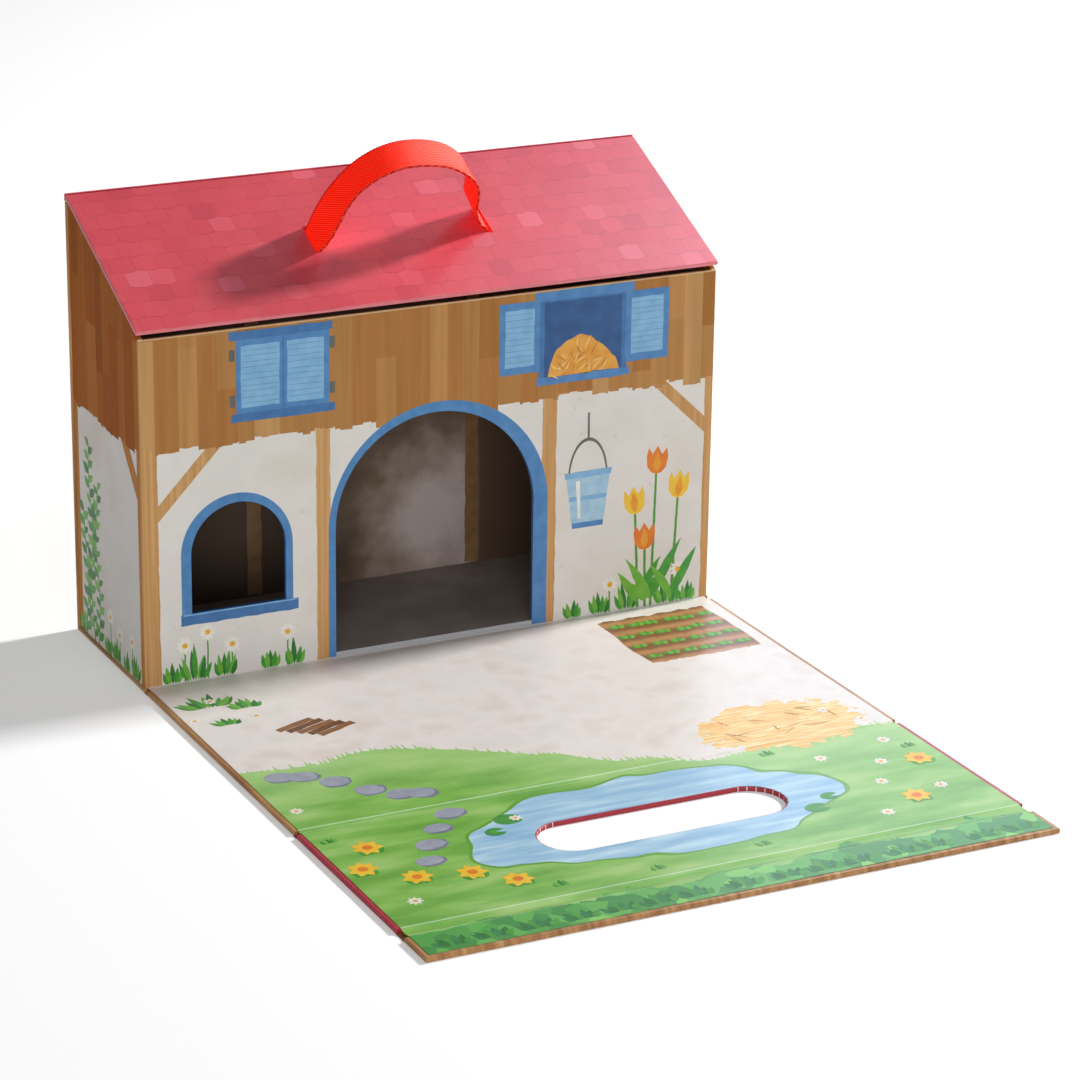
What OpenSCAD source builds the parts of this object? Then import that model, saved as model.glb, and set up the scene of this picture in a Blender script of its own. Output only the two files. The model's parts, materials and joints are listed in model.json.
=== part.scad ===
// A toy barn that is also its own carrying case, made of board wrapped in printed paper.
// A shallow tray with an arched doorway and window stands on a wrapped case of base, back and lean-to roof.
// In front the case goes on as three hinged panels. They lie flat as a play mat, or fold up over the front
// wall, the roof and the ridge, and then the handle comes out through a slot in the middle panel.
// Origin: centre of the barn's underside. +Z is up, and the doorway faces -Y.

/* [Barn] */
// Width of the case boards: base, back, roof and cover panels
case_w = 341; // [320:1:360]
// Width of the tray that makes the barn's walls
tray_w = 339; // [318:1:358]
// Depth from the front wall's face to the back board's face
barn_d = 104; // [98:1:112]
// Height of the ridge corner above the table
ridge_z = 248.2; // [240:0.1:256]
// Slope of the roof in degrees
pitch = 25.15; // [23:0.05:27]
// How far the roof stands in front of the front wall
eaves = 0.8; // [0.4:0.1:1]
// Gap that shows between the roof's edge and the top of the front wall
eaves_gap = 1.75; // [1:0.05:2.5]

/* [Board and paper] */
// Thickness of a board with its wrap
board = 2.5; // [2.2:0.1:2.8]
// Thickness of a pasted print or lining
paper = 0.25; // [0.2:0.05:0.3]
// How far a print is turned over the top edge of a wall
hem = 12; // [8:1:16]
// Margin of wrap that shows round the mat's print
mat_margin = 2.5; // [1.5:0.5:4]
// Clearance between the folded cover and the barn
fold_gap = 0.4; // [0.3:0.1:0.8]
// Clearance between the closed roof and the side walls
lid_gap = 0.35; // [0.3:0.05:0.6]

/* [Doorway] */
// Clear width of the doorway
door_w = 118.4; // [110:0.2:124]
// Height of its crown above the table
door_top = 134.4; // [130:0.2:140]
// Its centre line
door_x = -0.4; // [-4:0.2:4]

/* [Window] */
// Clear width of the window
window_w = 54; // [48:0.5:58]
// Height of its crown above the table
window_top = 99.5; // [96:0.5:104]
// Height of its sill above the table
window_sill = 40.5; // [36:0.5:46]
// Its centre line
window_x = -115.5; // [-118:0.5:-112]

/* [Handle] */
// Width of the webbing
strap_w = 20; // [16:1:22]
// Thickness of the webbing
strap_t = 1.2; // [1:0.1:1.4]
// Distance from the handle's middle to each foot
strap_reach = 50; // [47:0.5:51]
// Height of the arch above the roof
strap_h = 53; // [46:1:58]
// Distance down the slope from the ridge to the handle
handle_u = 59; // [56:0.5:62]
// Length of webbing glued under each slot
strap_tail = 26; // [18:1:30]

/* [Cover] */
// Length of the last panel, which tucks down behind the ridge
lip_len = 28.5; // [26:0.5:32]
// Length of the slot that the handle comes through
hand_len = 134; // [128:1:140]
// Width of that slot
hand_w = 35; // [32:0.5:38]

/* [Magnets] */
// Diameter of the hidden closing magnets
magnet_d = 12; // [8:1:14]
// Their thickness
magnet_t = 1.5; // [1:0.1:1.6]
// Distance of each magnet from the middle
magnet_x = 120; // [80:5:140]

/* [Hidden] */
$fn = 96;

// Colours of the printed papers
wood_brown = "#AD7B49";
plaster = "#CFC9BF";
tile_red = "#CF5460";
edge_red = "#A83040";
cream = "#E6DDD2";
meadow_green = "#7DBB4A";
webbing_red = "#E8301F";
greyboard = "#8C857C";

// Places along the depth
front_y = -barn_d/2;
back_y = barn_d/2;
case_in_y = back_y - board;
tray_front_y = front_y + paper;
front_in_y = tray_front_y + board;
rear_in_y = case_in_y - board;

// Places across the width
case_x = case_w/2;
tray_x = tray_w/2;
wall_x = tray_x - paper;
wall_in_x = wall_x - board;
lining_x = wall_in_x - paper;
print_x = case_x - mat_margin;

// Heights
floor_z = board;
floor_top = 2*board;
lined_z = floor_top + paper;
slope = tan(pitch);
roof_under = (board + paper)/cos(pitch);

// Height of the roof's outer face above a place along the depth
function roof_z(y) = ridge_z - (back_y - y)*slope;

eaves_y = front_y - eaves;
front_top = roof_z(eaves_y) - board/cos(pitch) - eaves_gap - paper;
rear_top = roof_z(rear_in_y) - roof_under - lid_gap;
back_top = roof_z(case_in_y) - roof_under - lid_gap;

// Height of a side wall's wrapped top edge, which runs straight from the front wall's to the rear wall's
wrapped_top = front_top + paper;
function wall_top(y) = wrapped_top + (y - front_y)*(rear_top - wrapped_top)/(rear_in_y - front_y);

// The roof, measured down the slope from the ridge corner that it turns about
roof_len = (back_y - eaves_y)/cos(pitch);
roof_joint = 1.6;

// The folded cover: its outer faces, which meet on the fold axes
cover_t = board + paper;
yard_y = eaves_y - fold_gap - cover_t - 0.05;
lip_y = back_y + fold_gap + cover_t;
over_roof = (fold_gap + cover_t)/cos(pitch);
fold_z = roof_z(yard_y) + over_roof;
lip_z = roof_z(lip_y) + over_roof;
tile_len = norm([lip_y - yard_y, lip_z - fold_z]);

// The same axes with the cover lying flat on the table
yard_axis = yard_y;
fold_axis = yard_axis - fold_z;
lip_axis = fold_axis - tile_len;
mat_end = lip_axis - lip_len;

// Half widths of the soft joints that the boards leave beside each axis
fold_angle = 90 - pitch;
lip_angle = 90 + pitch;
yard_joint = 0.3;
fold_joint = cover_t*tan(fold_angle/2) + 0.25;
lip_joint = cover_t*tan(lip_angle/2) + 0.35;

// The handle's place on the folded cover
handle_y = back_y - handle_u*cos(pitch);
hand_y = fold_axis - (handle_y - yard_y)*cos(pitch) - (roof_z(handle_y) - fold_z)*sin(pitch);

// The magnets' height behind the ridge, and their place on the lip
magnet_z = back_top - 10;
lip_magnet_y = lip_axis - (lip_z - magnet_z);

// The slots in the roof
slot_w = 3.4;
slot_len = strap_w + 2;
slot_x = strap_reach + 0.6;
weld = 0.01;

// One point of a cubic curve
function curve(p, t) =
    pow(1 - t, 3)*p[0] + 3*pow(1 - t, 2)*t*p[1] + 3*(1 - t)*t*t*p[2] + pow(t, 3)*p[3];

// The webbing's middle line, across and up from the roof: left foot, crown, knee and right foot
rise = [
    [-strap_reach, 0],
    [-strap_reach + 3, 0.42*strap_h],
    [-0.66*strap_reach, strap_h],
    [-2, strap_h]
];
fall = [
    [-2, strap_h],
    [0.48*strap_reach, strap_h],
    [strap_reach - 10, 0.72*strap_h],
    [strap_reach - 9, 0.36*strap_h]
];
knee = [
    [strap_reach - 9, 0.36*strap_h],
    [strap_reach - 8.6, 0.16*strap_h],
    [strap_reach - 1, 0.16*strap_h],
    [strap_reach, 0]
];

strap_line = concat(
    [for (i = [0:24]) curve(rise, i/24)],
    [for (i = [1:15]) curve(fall, i/15)],
    [for (i = [1:8]) curve(knee, i/8)]
);

// The points of that line where the left leg ends, the right leg begins, and the line ends
grip_from = 10;
grip_to = 34;
line_end = len(strap_line) - 1;

// Half the webbing's thickness, square to its middle line at one point
function to_face(i) =
    let (d = strap_line[min(i + 1, line_end)] - strap_line[max(i - 1, 0)])
    [-d[1], d[0]]*strap_t/2/norm(d);

// Outline of the webbing, seen from its edge, between two points of its line
function ribbon(i0, i1) = concat(
    [for (i = [i0:i1]) strap_line[i] + to_face(i)],
    [for (i = [i1:-1:i0]) strap_line[i] - to_face(i)]
);

// A flat shape drawn in X and Z, standing up with its rear face at y
module upright(y, t) {
    translate([0, y, 0]) rotate([90, 0, 0]) linear_extrude(t) children();
}

// A flat shape drawn in Y and Z, standing up from x towards +X
module sideways(x, t) {
    translate([x, 0, 0]) rotate([90, 0, 90]) linear_extrude(t) children();
}

// The roof's own frame: X across, -Y down the slope from the ridge corner, Z out of its outer face
module on_roof() {
    translate([0, back_y, ridge_z]) rotate([pitch, 0, 0]) children();
}

// An opening with a round head
module arch(w, bottom, top) {
    translate([0, top - w/2]) circle(w/2);
    translate([-w/2, bottom]) square([w, top - w/2 - bottom]);
}

// The doorway and the window, cut out of whatever stands across them
module front_openings() {
    translate([door_x, 0]) arch(door_w, floor_z - 1, door_top);
    translate([window_x, 0]) arch(window_w, window_sill, window_top);
}

// Side of the barn between two depths, from z up to a given drop below the roof line
module lean_to(y0, y1, z, drop) {
    polygon([[y0, z], [y1, z], [y1, wall_top(y1) - drop], [y0, wall_top(y0) - drop]]);
}

// A band along the top of a side wall
module top_band(y0, y1, drop0, drop1) {
    polygon([
        [y0, wall_top(y0) - drop1], [y1, wall_top(y1) - drop1],
        [y1, wall_top(y1) - drop0], [y0, wall_top(y0) - drop0]
    ]);
}

// A panel lying flat between two places along the depth
module flat_panel(x, y0, y1, z, t) {
    translate([-x, y0, z]) cube([2*x, y1 - y0, t]);
}

// The slot in the cover that the handle comes through
module hand_slot() {
    end_x = hand_len/2 - hand_w/2;
    translate([0, hand_y, -1]) {
        for (x = [-end_x, end_x]) translate([x, 0, 0]) cylinder(d = hand_w, h = 5);
        translate([-end_x, -hand_w/2, 0]) cube([2*end_x, hand_w, 5]);
    }
}

module base_panel() {
    color(wood_brown) flat_panel(case_x, front_y, case_in_y, 0, board);
}

module back_panel() {
    color(wood_brown) difference() {
        translate([-case_x, case_in_y, 0]) cube([case_w, board, back_top]);
        for (x = [-magnet_x, magnet_x])
            translate([x, case_in_y - 1, magnet_z])
                rotate([-90, 0, 0]) cylinder(d = magnet_d, h = magnet_t + 1);
    }
}

module back_magnets() {
    color("silver") for (x = [-magnet_x, magnet_x])
        translate([x, case_in_y, magnet_z]) rotate([-90, 0, 0]) cylinder(d = magnet_d, h = magnet_t);
}

// The tray's floor runs out into the doorway, where its grey front edge shows
module floor_board() {
    color(greyboard) flat_panel(wall_x, tray_front_y, case_in_y, floor_z, board);
}

module floor_lining() {
    color(greyboard) {
        flat_panel(wall_in_x, front_in_y, rear_in_y, floor_top, paper);
        translate([door_x - door_w/2, tray_front_y, floor_top]) cube([door_w, board, paper]);
    }
}

module front_wall() {
    color(greyboard) upright(front_in_y, board) difference() {
        translate([-wall_x, floor_top]) square([2*wall_x, front_top - floor_top]);
        front_openings();
    }
}

// The print covers the face, turns over the top edge and ends in a hem inside
module front_wall_print() {
    color(wood_brown) {
        upright(tray_front_y, paper) difference() {
            translate([-tray_x, floor_z]) square([tray_w, front_top + paper - floor_z]);
            front_openings();
        }
        translate([-wall_x, tray_front_y, front_top]) cube([2*wall_x, board, paper]);
        translate([-lining_x, front_in_y, front_top - hem]) cube([2*lining_x, paper, hem + paper]);
    }
}

module front_wall_lining() {
    color(plaster) upright(front_in_y + paper, paper) difference() {
        translate([-lining_x, lined_z]) square([2*lining_x, front_top - hem - lined_z]);
        front_openings();
    }
}

// A side wall, its print with the turned hem, and its lining, drawn for the left and mirrored for the right
module side_wall() {
    sideways(-wall_x, board) lean_to(front_in_y, rear_in_y, floor_top, paper);
}

module side_wall_print() {
    sideways(-tray_x, paper) lean_to(tray_front_y, case_in_y, floor_z, 0);
    sideways(-wall_x, board) top_band(front_in_y, rear_in_y, 0, paper);
    sideways(-wall_in_x, paper) top_band(front_in_y + paper, rear_in_y - paper, 0, hem);
}

module side_wall_lining() {
    sideways(-wall_in_x, paper) lean_to(front_in_y + paper, rear_in_y - paper, lined_z, hem);
}

module left_wall() { color(greyboard) side_wall(); }
module left_wall_print() { color(wood_brown) side_wall_print(); }
module left_wall_lining() { color(plaster) side_wall_lining(); }
module right_wall() { color(greyboard) mirror([1, 0, 0]) side_wall(); }
module right_wall_print() { color(wood_brown) mirror([1, 0, 0]) side_wall_print(); }
module right_wall_lining() { color(plaster) mirror([1, 0, 0]) side_wall_lining(); }

module rear_wall() {
    color(greyboard) upright(case_in_y, board)
        translate([-wall_x, floor_top]) square([2*wall_x, rear_top - floor_top]);
}

module rear_wall_lining() {
    color(plaster) upright(rear_in_y, paper)
        translate([-lining_x, lined_z]) square([2*lining_x, rear_top - paper - lined_z]);
}

// Cloth joint round the ridge corner, from the back board's top to the roof's upper edge
module ridge_hinge() {
    down = [-cos(pitch), -sin(pitch)];
    inward = [sin(pitch), -cos(pitch)];
    ridge = [back_y, ridge_z];
    roof_edge = ridge + roof_joint*down;
    inner_z = roof_z(back_y - paper) - paper/cos(pitch);
    color(tile_red) sideways(-case_x, case_w) polygon([
        [back_y, back_top], ridge, roof_edge, roof_edge + paper*inward,
        [back_y - paper, inner_z], [back_y - paper, back_top]
    ]);
}

module roof_panel() {
    color(tile_red) on_roof() difference() {
        translate([-case_x, -roof_len, -board]) cube([case_w, roof_len - roof_joint, board]);
        for (s = [-1, 1]) {
            translate([s*slot_x - slot_w/2, -handle_u - slot_len/2, -board - 1])
                cube([slot_w, slot_len, board + 2]);
            translate([s*(strap_reach + strap_tail/2) - strap_tail/2, -handle_u - slot_len/2, -board - 1])
                cube([strap_tail, slot_len, strap_t + 1]);
        }
    }
}

module roof_lining() {
    color(plaster) on_roof()
        translate([-print_x, -roof_len + mat_margin, -board - paper])
            cube([2*print_x, roof_len - roof_joint - 2*mat_margin, paper]);
}

// Webbing of the handle between two points of its middle line
module webbing(i0, i1) {
    translate([0, -handle_u + strap_w/2, 0]) rotate([90, 0, 0])
        linear_extrude(strap_w) polygon(ribbon(i0, i1));
}

// The end of the webbing goes down through its slot and is glued flat in a recess under the roof
module strap_end(s) {
    translate([s*strap_reach - strap_t/2, -handle_u - strap_w/2, -board])
        cube([strap_t, strap_w, board + weld]);
    translate([s*(strap_reach + strap_tail/2) - strap_tail/2, -handle_u - strap_w/2, -board])
        cube([strap_tail, strap_w, strap_t]);
}

module handle_leg_left() {
    color(webbing_red) on_roof() {
        webbing(0, grip_from);
        strap_end(-1);
    }
}

module handle_leg_right() {
    color(webbing_red) on_roof() {
        webbing(grip_to, line_end);
        strap_end(1);
    }
}

module handle_grip() {
    color(webbing_red) on_roof() webbing(grip_from, grip_to);
}

// A cloth joint of the cover: the wrap below and the print above, with no board between them
module soft_joint(y0, y1) {
    color(wood_brown) flat_panel(case_x, y0, y1, 0, paper);
    color(cream) flat_panel(print_x, y0, y1, board, paper);
}

module yard_hinge() { soft_joint(yard_axis - yard_joint, front_y); }
module fold_hinge() { soft_joint(fold_axis - fold_joint, fold_axis + fold_joint); }
module lip_hinge() { soft_joint(lip_axis - lip_joint, lip_axis + lip_joint); }

// First panel: the front of the closed case, and the farmyard of the mat
module yard_panel() {
    color(wood_brown) flat_panel(case_x, fold_axis + fold_joint, yard_axis - yard_joint, 0, board);
}

module yard_print() {
    color(cream) flat_panel(print_x, fold_axis + fold_joint, yard_axis - yard_joint, board, paper);
}

// Second panel: the roof of the closed case, and the meadow of the mat
module tile_panel() {
    color(edge_red) difference() {
        flat_panel(case_x, lip_axis + lip_joint, fold_axis - fold_joint, 0, board);
        hand_slot();
    }
}

module meadow_print() {
    color(meadow_green) difference() {
        flat_panel(print_x, lip_axis + lip_joint, fold_axis - fold_joint, board, paper);
        hand_slot();
    }
}

// Third panel: the lip that tucks down behind the ridge, with its magnets under the print
module lip_panel() {
    color(wood_brown) difference() {
        flat_panel(case_x, mat_end, lip_axis - lip_joint, 0, board);
        for (x = [-magnet_x, magnet_x])
            translate([x, lip_magnet_y, board - magnet_t]) cylinder(d = magnet_d, h = magnet_t + 1);
    }
}

module lip_print() {
    color(meadow_green) flat_panel(print_x, mat_end + mat_margin, lip_axis - lip_joint, board, paper);
}

module lip_magnets() {
    color("silver") for (x = [-magnet_x, magnet_x])
        translate([x, lip_magnet_y, board - magnet_t]) cylinder(d = magnet_d, h = magnet_t);
}

base_panel();
back_panel();
back_magnets();
floor_board();
floor_lining();
front_wall();
front_wall_print();
front_wall_lining();
left_wall();
left_wall_print();
left_wall_lining();
right_wall();
right_wall_print();
right_wall_lining();
rear_wall();
rear_wall_lining();
ridge_hinge();
roof_panel();
roof_lining();
handle_leg_left();
handle_leg_right();
handle_grip();
yard_hinge();
yard_panel();
yard_print();
fold_hinge();
tile_panel();
meadow_print();
lip_hinge();
lip_panel();
lip_print();
lip_magnets();
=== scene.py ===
import json
import math
import random

import bmesh
import bpy
from mathutils import Matrix, Vector, noise


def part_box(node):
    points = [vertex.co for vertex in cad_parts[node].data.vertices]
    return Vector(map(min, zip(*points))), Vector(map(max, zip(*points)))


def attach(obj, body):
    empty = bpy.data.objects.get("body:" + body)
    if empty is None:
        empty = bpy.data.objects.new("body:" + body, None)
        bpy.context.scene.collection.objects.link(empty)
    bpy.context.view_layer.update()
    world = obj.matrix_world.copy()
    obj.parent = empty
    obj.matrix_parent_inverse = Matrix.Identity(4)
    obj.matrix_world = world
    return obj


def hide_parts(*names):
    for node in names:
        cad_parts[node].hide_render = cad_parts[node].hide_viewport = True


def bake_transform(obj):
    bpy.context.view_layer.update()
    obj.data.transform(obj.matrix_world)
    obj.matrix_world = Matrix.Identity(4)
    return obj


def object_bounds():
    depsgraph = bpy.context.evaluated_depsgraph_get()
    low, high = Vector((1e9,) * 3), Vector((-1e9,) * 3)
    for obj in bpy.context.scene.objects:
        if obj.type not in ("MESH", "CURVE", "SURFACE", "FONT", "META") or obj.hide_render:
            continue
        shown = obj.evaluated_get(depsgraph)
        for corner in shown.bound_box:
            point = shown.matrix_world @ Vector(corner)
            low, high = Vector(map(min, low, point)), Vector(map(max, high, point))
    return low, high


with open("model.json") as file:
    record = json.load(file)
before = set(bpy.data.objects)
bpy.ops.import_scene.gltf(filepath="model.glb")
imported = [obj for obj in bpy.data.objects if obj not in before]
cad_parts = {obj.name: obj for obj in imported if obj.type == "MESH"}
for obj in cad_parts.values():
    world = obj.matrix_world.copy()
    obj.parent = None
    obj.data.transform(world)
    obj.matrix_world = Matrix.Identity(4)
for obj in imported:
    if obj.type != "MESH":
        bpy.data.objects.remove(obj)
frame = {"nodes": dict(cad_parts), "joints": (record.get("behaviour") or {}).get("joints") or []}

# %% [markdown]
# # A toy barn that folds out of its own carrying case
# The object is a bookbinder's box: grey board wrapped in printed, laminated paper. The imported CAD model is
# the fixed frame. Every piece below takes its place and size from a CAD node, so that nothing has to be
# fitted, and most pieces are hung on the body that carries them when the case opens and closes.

MM = 0.001
cad_box = [list(corner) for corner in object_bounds()]
pivot = {joint["name"]: Vector(joint["pos_m"]) for joint in frame["joints"] if joint["type"] == "hinge"}
ridge = pivot["roof_hinge"]
PITCH = math.radians(25.15)
PRINT_MARGIN = 2.5 * MM  # wrap that shows beside the mat's print
EDGE_ROUND = 0.6 * MM  # how tightly paper turns round a board's edge
CLOTH = 0.25 * MM  # paper or cloth over a joint
ON_LINE = 0.01 * MM  # nearer than this counts as on a line
print("CAD box in mm", [[round(v / MM, 1) for v in corner] for corner in cad_box])

# %% [markdown]
# ## The camera
# The photograph's camera was found by fitting the barn's corners and folds. It is a long lens, so the barn
# hardly narrows towards the back. The camera is built from its distance, two angles and a small roll, and
# its three axes become the columns of one matrix.

# %% Place the camera
AZIMUTH, ELEVATION, ROLL = (math.radians(a) for a in (-26.697, 19.636, 0.812))
DISTANCE = 2.024263
FOCUS_POINT = Vector((0.048943, -0.080, 0.063072))
FOCAL_PIXELS, IMAGE_PIXELS, SENSOR_MM = 3728.149, 1080, 36

back = Vector((
    math.sin(AZIMUTH) * math.cos(ELEVATION),
    -math.cos(AZIMUTH) * math.cos(ELEVATION),
    math.sin(ELEVATION),
))
level_right = Vector((math.cos(AZIMUTH), math.sin(AZIMUTH), 0))
level_up = back.cross(level_right)
right = math.cos(ROLL) * level_right + math.sin(ROLL) * level_up
up = back.cross(right)
place = FOCUS_POINT + DISTANCE * back

lens = bpy.data.cameras.new("photo_camera")
lens.sensor_width = SENSOR_MM
lens.lens = FOCAL_PIXELS / IMAGE_PIXELS * SENSOR_MM
camera = bpy.data.objects.new("photo_camera", lens)
bpy.context.scene.collection.objects.link(camera)
camera.matrix_world = Matrix((
    (right.x, up.x, back.x, place.x),
    (right.y, up.y, back.y, place.y),
    (right.z, up.z, back.z, place.z),
    (0, 0, 0, 1),
))
bpy.context.scene.camera = camera
bpy.context.scene.view_settings.view_transform = "Standard"
print("lens in mm", round(lens.lens, 1))

# %% [markdown]
# ## Helpers for finishes
# Colours are given in sRGB and turned to linear light by one function. One function adds a shader
# node with its settings and links, and gives back its first output, or the node where several are needed.
# A printed and laminated paper has a thin clear film of polypropylene, so all the prints share one shader: a
# smooth, half glossy skin over the colour, with the faint tooth of the paper under it. The patterns read the
# place that each point has at rest, kept in the mesh as "rest_place". Object coordinates would do for a rigid
# board, but a strip that bends over a joint changes its own mesh, and its picture would slide.

# %% Colours and nodes
def linear(hex_colour):
    """An sRGB hex colour as linear red, green, blue and alpha."""
    parts = [int(hex_colour[i:i + 2], 16) / 255 for i in (1, 3, 5)]
    return tuple(p / 12.92 if p <= 0.04045 else ((p + 0.055) / 1.055) ** 2.4 for p in parts) + (1.0,)


def add(tree, kind, inputs=None, whole=False, **settings):
    """Adds a shader node. Inputs are links or values by name or number. Gives its first output."""
    made = tree.nodes.new("ShaderNode" + kind)
    for name, value in settings.items():
        setattr(made, name, value)
    for name, value in (inputs or {}).items():
        if isinstance(value, bpy.types.NodeSocket):
            tree.links.new(value, made.inputs[name])
        else:
            made.inputs[name].default_value = value
    if whole:
        return made
    return next(out for out in made.outputs if out.enabled)


def steps(tree, value, stops, smooth=False):
    """Colours or levels along a value from 0 to 1, as (place, colour) pairs."""
    ramp = add(tree, "ValToRGB", {0: value}, whole=True)
    ramp.color_ramp.interpolation = "LINEAR" if smooth else "CONSTANT"
    band = ramp.color_ramp
    while len(band.elements) < len(stops):
        band.elements.new(1.0)
    for element, (place_on_band, colour) in zip(band.elements, stops):
        element.position = place_on_band
        element.color = linear(colour) if isinstance(colour, str) else (colour, colour, colour, 1)
    return ramp.outputs[0]


FILM_IOR = 1.5


def paper_skin(name, roughness=0.42, tooth=0.04, tooth_mm=0.35, gloss=0.5):
    """A laminated paper: gives the material, its node tree, its shader and the place of a surface point."""
    # the film gives soft, wide reflections, and the paper's tooth keeps them from looking like plastic
    material = bpy.data.materials.new(name)
    material.use_nodes = True
    tree = material.node_tree
    shader = tree.nodes["Principled BSDF"]
    shader.inputs["Roughness"].default_value = roughness
    shader.inputs["IOR"].default_value = FILM_IOR
    shader.inputs["Specular IOR Level"].default_value = gloss
    coords = add(tree, "Attribute", whole=True, attribute_name="rest_place").outputs["Vector"]
    grit = add(tree, "TexNoise", {"Vector": coords, "Scale": 1 / (tooth_mm * MM), "Detail": 2.0})
    tooth_depth = 0.1 * MM
    bump = add(tree, "Bump", {"Height": grit, "Strength": tooth, "Distance": tooth_depth})
    tree.links.new(bump, shader.inputs["Normal"])
    return material, tree, shader, coords


def mottled(name, colour, second, patch_mm=14, roughness=0.42, stretch=(1, 1, 1)):
    """A printed area in one colour that drifts softly towards a second, as brushed poster paint does."""
    material, tree, shader, coords = paper_skin(name, roughness)
    stretched = add(tree, "Mapping", {"Vector": coords, "Scale": stretch})
    cloud = add(tree, "TexNoise", {"Vector": stretched, "Scale": 1 / (patch_mm * MM), "Detail": 4.0})
    tone = steps(tree, cloud, [(0.36, colour), (0.66, second)], smooth=True)
    tree.links.new(tone, shader.inputs["Base Color"])
    return material


# %% [markdown]
# ## Helpers for boards
# A wrapped board is a flat plate whose paper pulls round over every edge. It is drawn as an outline with
# its openings, filled, pushed up to its thickness, and its edges are rounded by a bevel. A matrix then
# stands it up where it belongs. The places of the walls come from the CAD nodes' boxes.

# %% Make a piece from a bmesh
def finish_piece(name, bm, materials, body, replaces=(), smooth=False):
    """Turns a bmesh into an object that rides on a body, with its place at rest kept in its mesh."""
    bmesh.ops.remove_doubles(bm, verts=bm.verts, dist=0.001 * MM)
    bmesh.ops.recalc_face_normals(bm, faces=bm.faces)
    mesh = bpy.data.meshes.new(name)
    bm.to_mesh(mesh)
    bm.free()
    for material in materials:
        mesh.materials.append(material)
    for face in mesh.polygons:
        face.use_smooth = smooth
    at_rest = mesh.attributes.new("rest_place", "FLOAT_VECTOR", "POINT")
    for vertex, kept in zip(mesh.vertices, at_rest.data):
        kept.vector = vertex.co
    piece = bpy.data.objects.new(name, mesh)
    bpy.context.scene.collection.objects.link(piece)
    if body:
        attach(piece, body)
    if replaces:
        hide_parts(*replaces)
    print(name, len(mesh.polygons), "faces")
    return piece


def arc(cx, cy, radius, start, end, count):
    """Points of an arc, its angles in degrees."""
    turn = [math.radians(start + (end - start) * i / count) for i in range(count + 1)]
    return [(cx + radius * math.cos(a), cy + radius * math.sin(a)) for a in turn]


def plate(outline, holes, thickness, rounding, sharp=None, segments=3):
    """A board drawn in X and Y, from Z 0 up to its thickness. Edges where sharp(middle) holds stay sharp."""
    bm = bmesh.new()
    for ring in [outline] + list(holes):
        corners = [bm.verts.new((x, y, 0)) for x, y in ring]
        for a, b in zip(corners, corners[1:] + corners[:1]):
            bm.edges.new((a, b))
    bmesh.ops.triangle_fill(bm, edges=bm.edges[:], use_beauty=True, normal=(0, 0, 1))
    bmesh.ops.dissolve_limit(bm, angle_limit=0.01, verts=[], edges=bm.edges[:])
    pushed = bmesh.ops.extrude_face_region(bm, geom=bm.faces[:])["geom"]
    top = [v for v in pushed if isinstance(v, bmesh.types.BMVert)]
    bmesh.ops.translate(bm, vec=(0, 0, thickness), verts=top)
    bmesh.ops.recalc_face_normals(bm, faces=bm.faces)
    if rounding:
        least_bend = math.radians(30)
        bent = [e for e in bm.edges if len(e.link_faces) == 2 and e.calc_face_angle(0) > least_bend]
        if sharp:
            bent = [e for e in bent if not sharp((e.verts[0].co + e.verts[1].co) / 2)]
        bmesh.ops.bevel(
            bm, geom=bent, offset=rounding, offset_type="OFFSET", segments=segments,
            profile=0.5, affect="EDGES", material=-1, loop_slide=False, clamp_overlap=True,
        )
    return bm


def stand(x_axis, y_axis, origin):
    """The matrix that puts a plate's X and Y along two directions, with its thickness along their cross."""
    x_axis, y_axis = Vector(x_axis), Vector(y_axis)
    z_axis = x_axis.cross(y_axis)
    return Matrix((
        (x_axis.x, y_axis.x, z_axis.x, origin[0]),
        (x_axis.y, y_axis.y, z_axis.y, origin[1]),
        (x_axis.z, y_axis.z, z_axis.z, origin[2]),
        (0, 0, 0, 1),
    ))


def wrapped_box(lo, hi, rounding, segments=3):
    """A board with all its edges rounded, between two corners."""
    lo, hi = Vector(lo), Vector(hi)
    bm = bmesh.new()
    bmesh.ops.create_cube(bm, size=1)
    bmesh.ops.scale(bm, vec=hi - lo, verts=bm.verts)
    bmesh.ops.translate(bm, vec=(lo + hi) / 2, verts=bm.verts)
    bmesh.ops.bevel(
        bm, geom=bm.edges[:], offset=rounding, segments=segments,
        profile=0.5, affect="EDGES", material=-1,
    )
    return bm


def both(*nodes):
    """Lowest and highest corner of several CAD nodes together."""
    boxes = [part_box(n) for n in nodes]
    lo = Vector([min(b[0][i] for b in boxes) for i in range(3)])
    hi = Vector([max(b[1][i] for b in boxes) for i in range(3)])
    return lo, hi


# %% [markdown]
# ## The wall paper: planks above, timber and plaster below
# The barn's paper is one picture round the front and sides. Upright planks of four browns end in a ragged
# line, and below it runs cream plaster between timber posts and slanting braces. It is all drawn by the
# shader, because the picture goes on round the rounded corners. Each plank is a cell of a one-dimensional
# Voronoi pattern, about 11 mm wide, whose random colour picks its brown and how far down it reaches.

# %% Planks, plaster, posts and braces
PLANK_MM, SPLIT_Z = 11.0, 131.5 * MM
wall_lo, wall_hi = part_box("front_wall_print")
side_face = abs(wall_lo.x)
FRONT_POSTS = [(-170.5, -160.5), (-70.7, -62.5), (63.7, 72.2), (164.5, 170.5)]
# where the picture changes on its way round the corners, as places along the depth
FRONT_FACE_Y, SIDE_FACE_Y = -51.2 * MM, -50.5 * MM
CORNER_POST_Y, REAR_POST_Y = -46.2 * MM, 43.6 * MM


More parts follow.
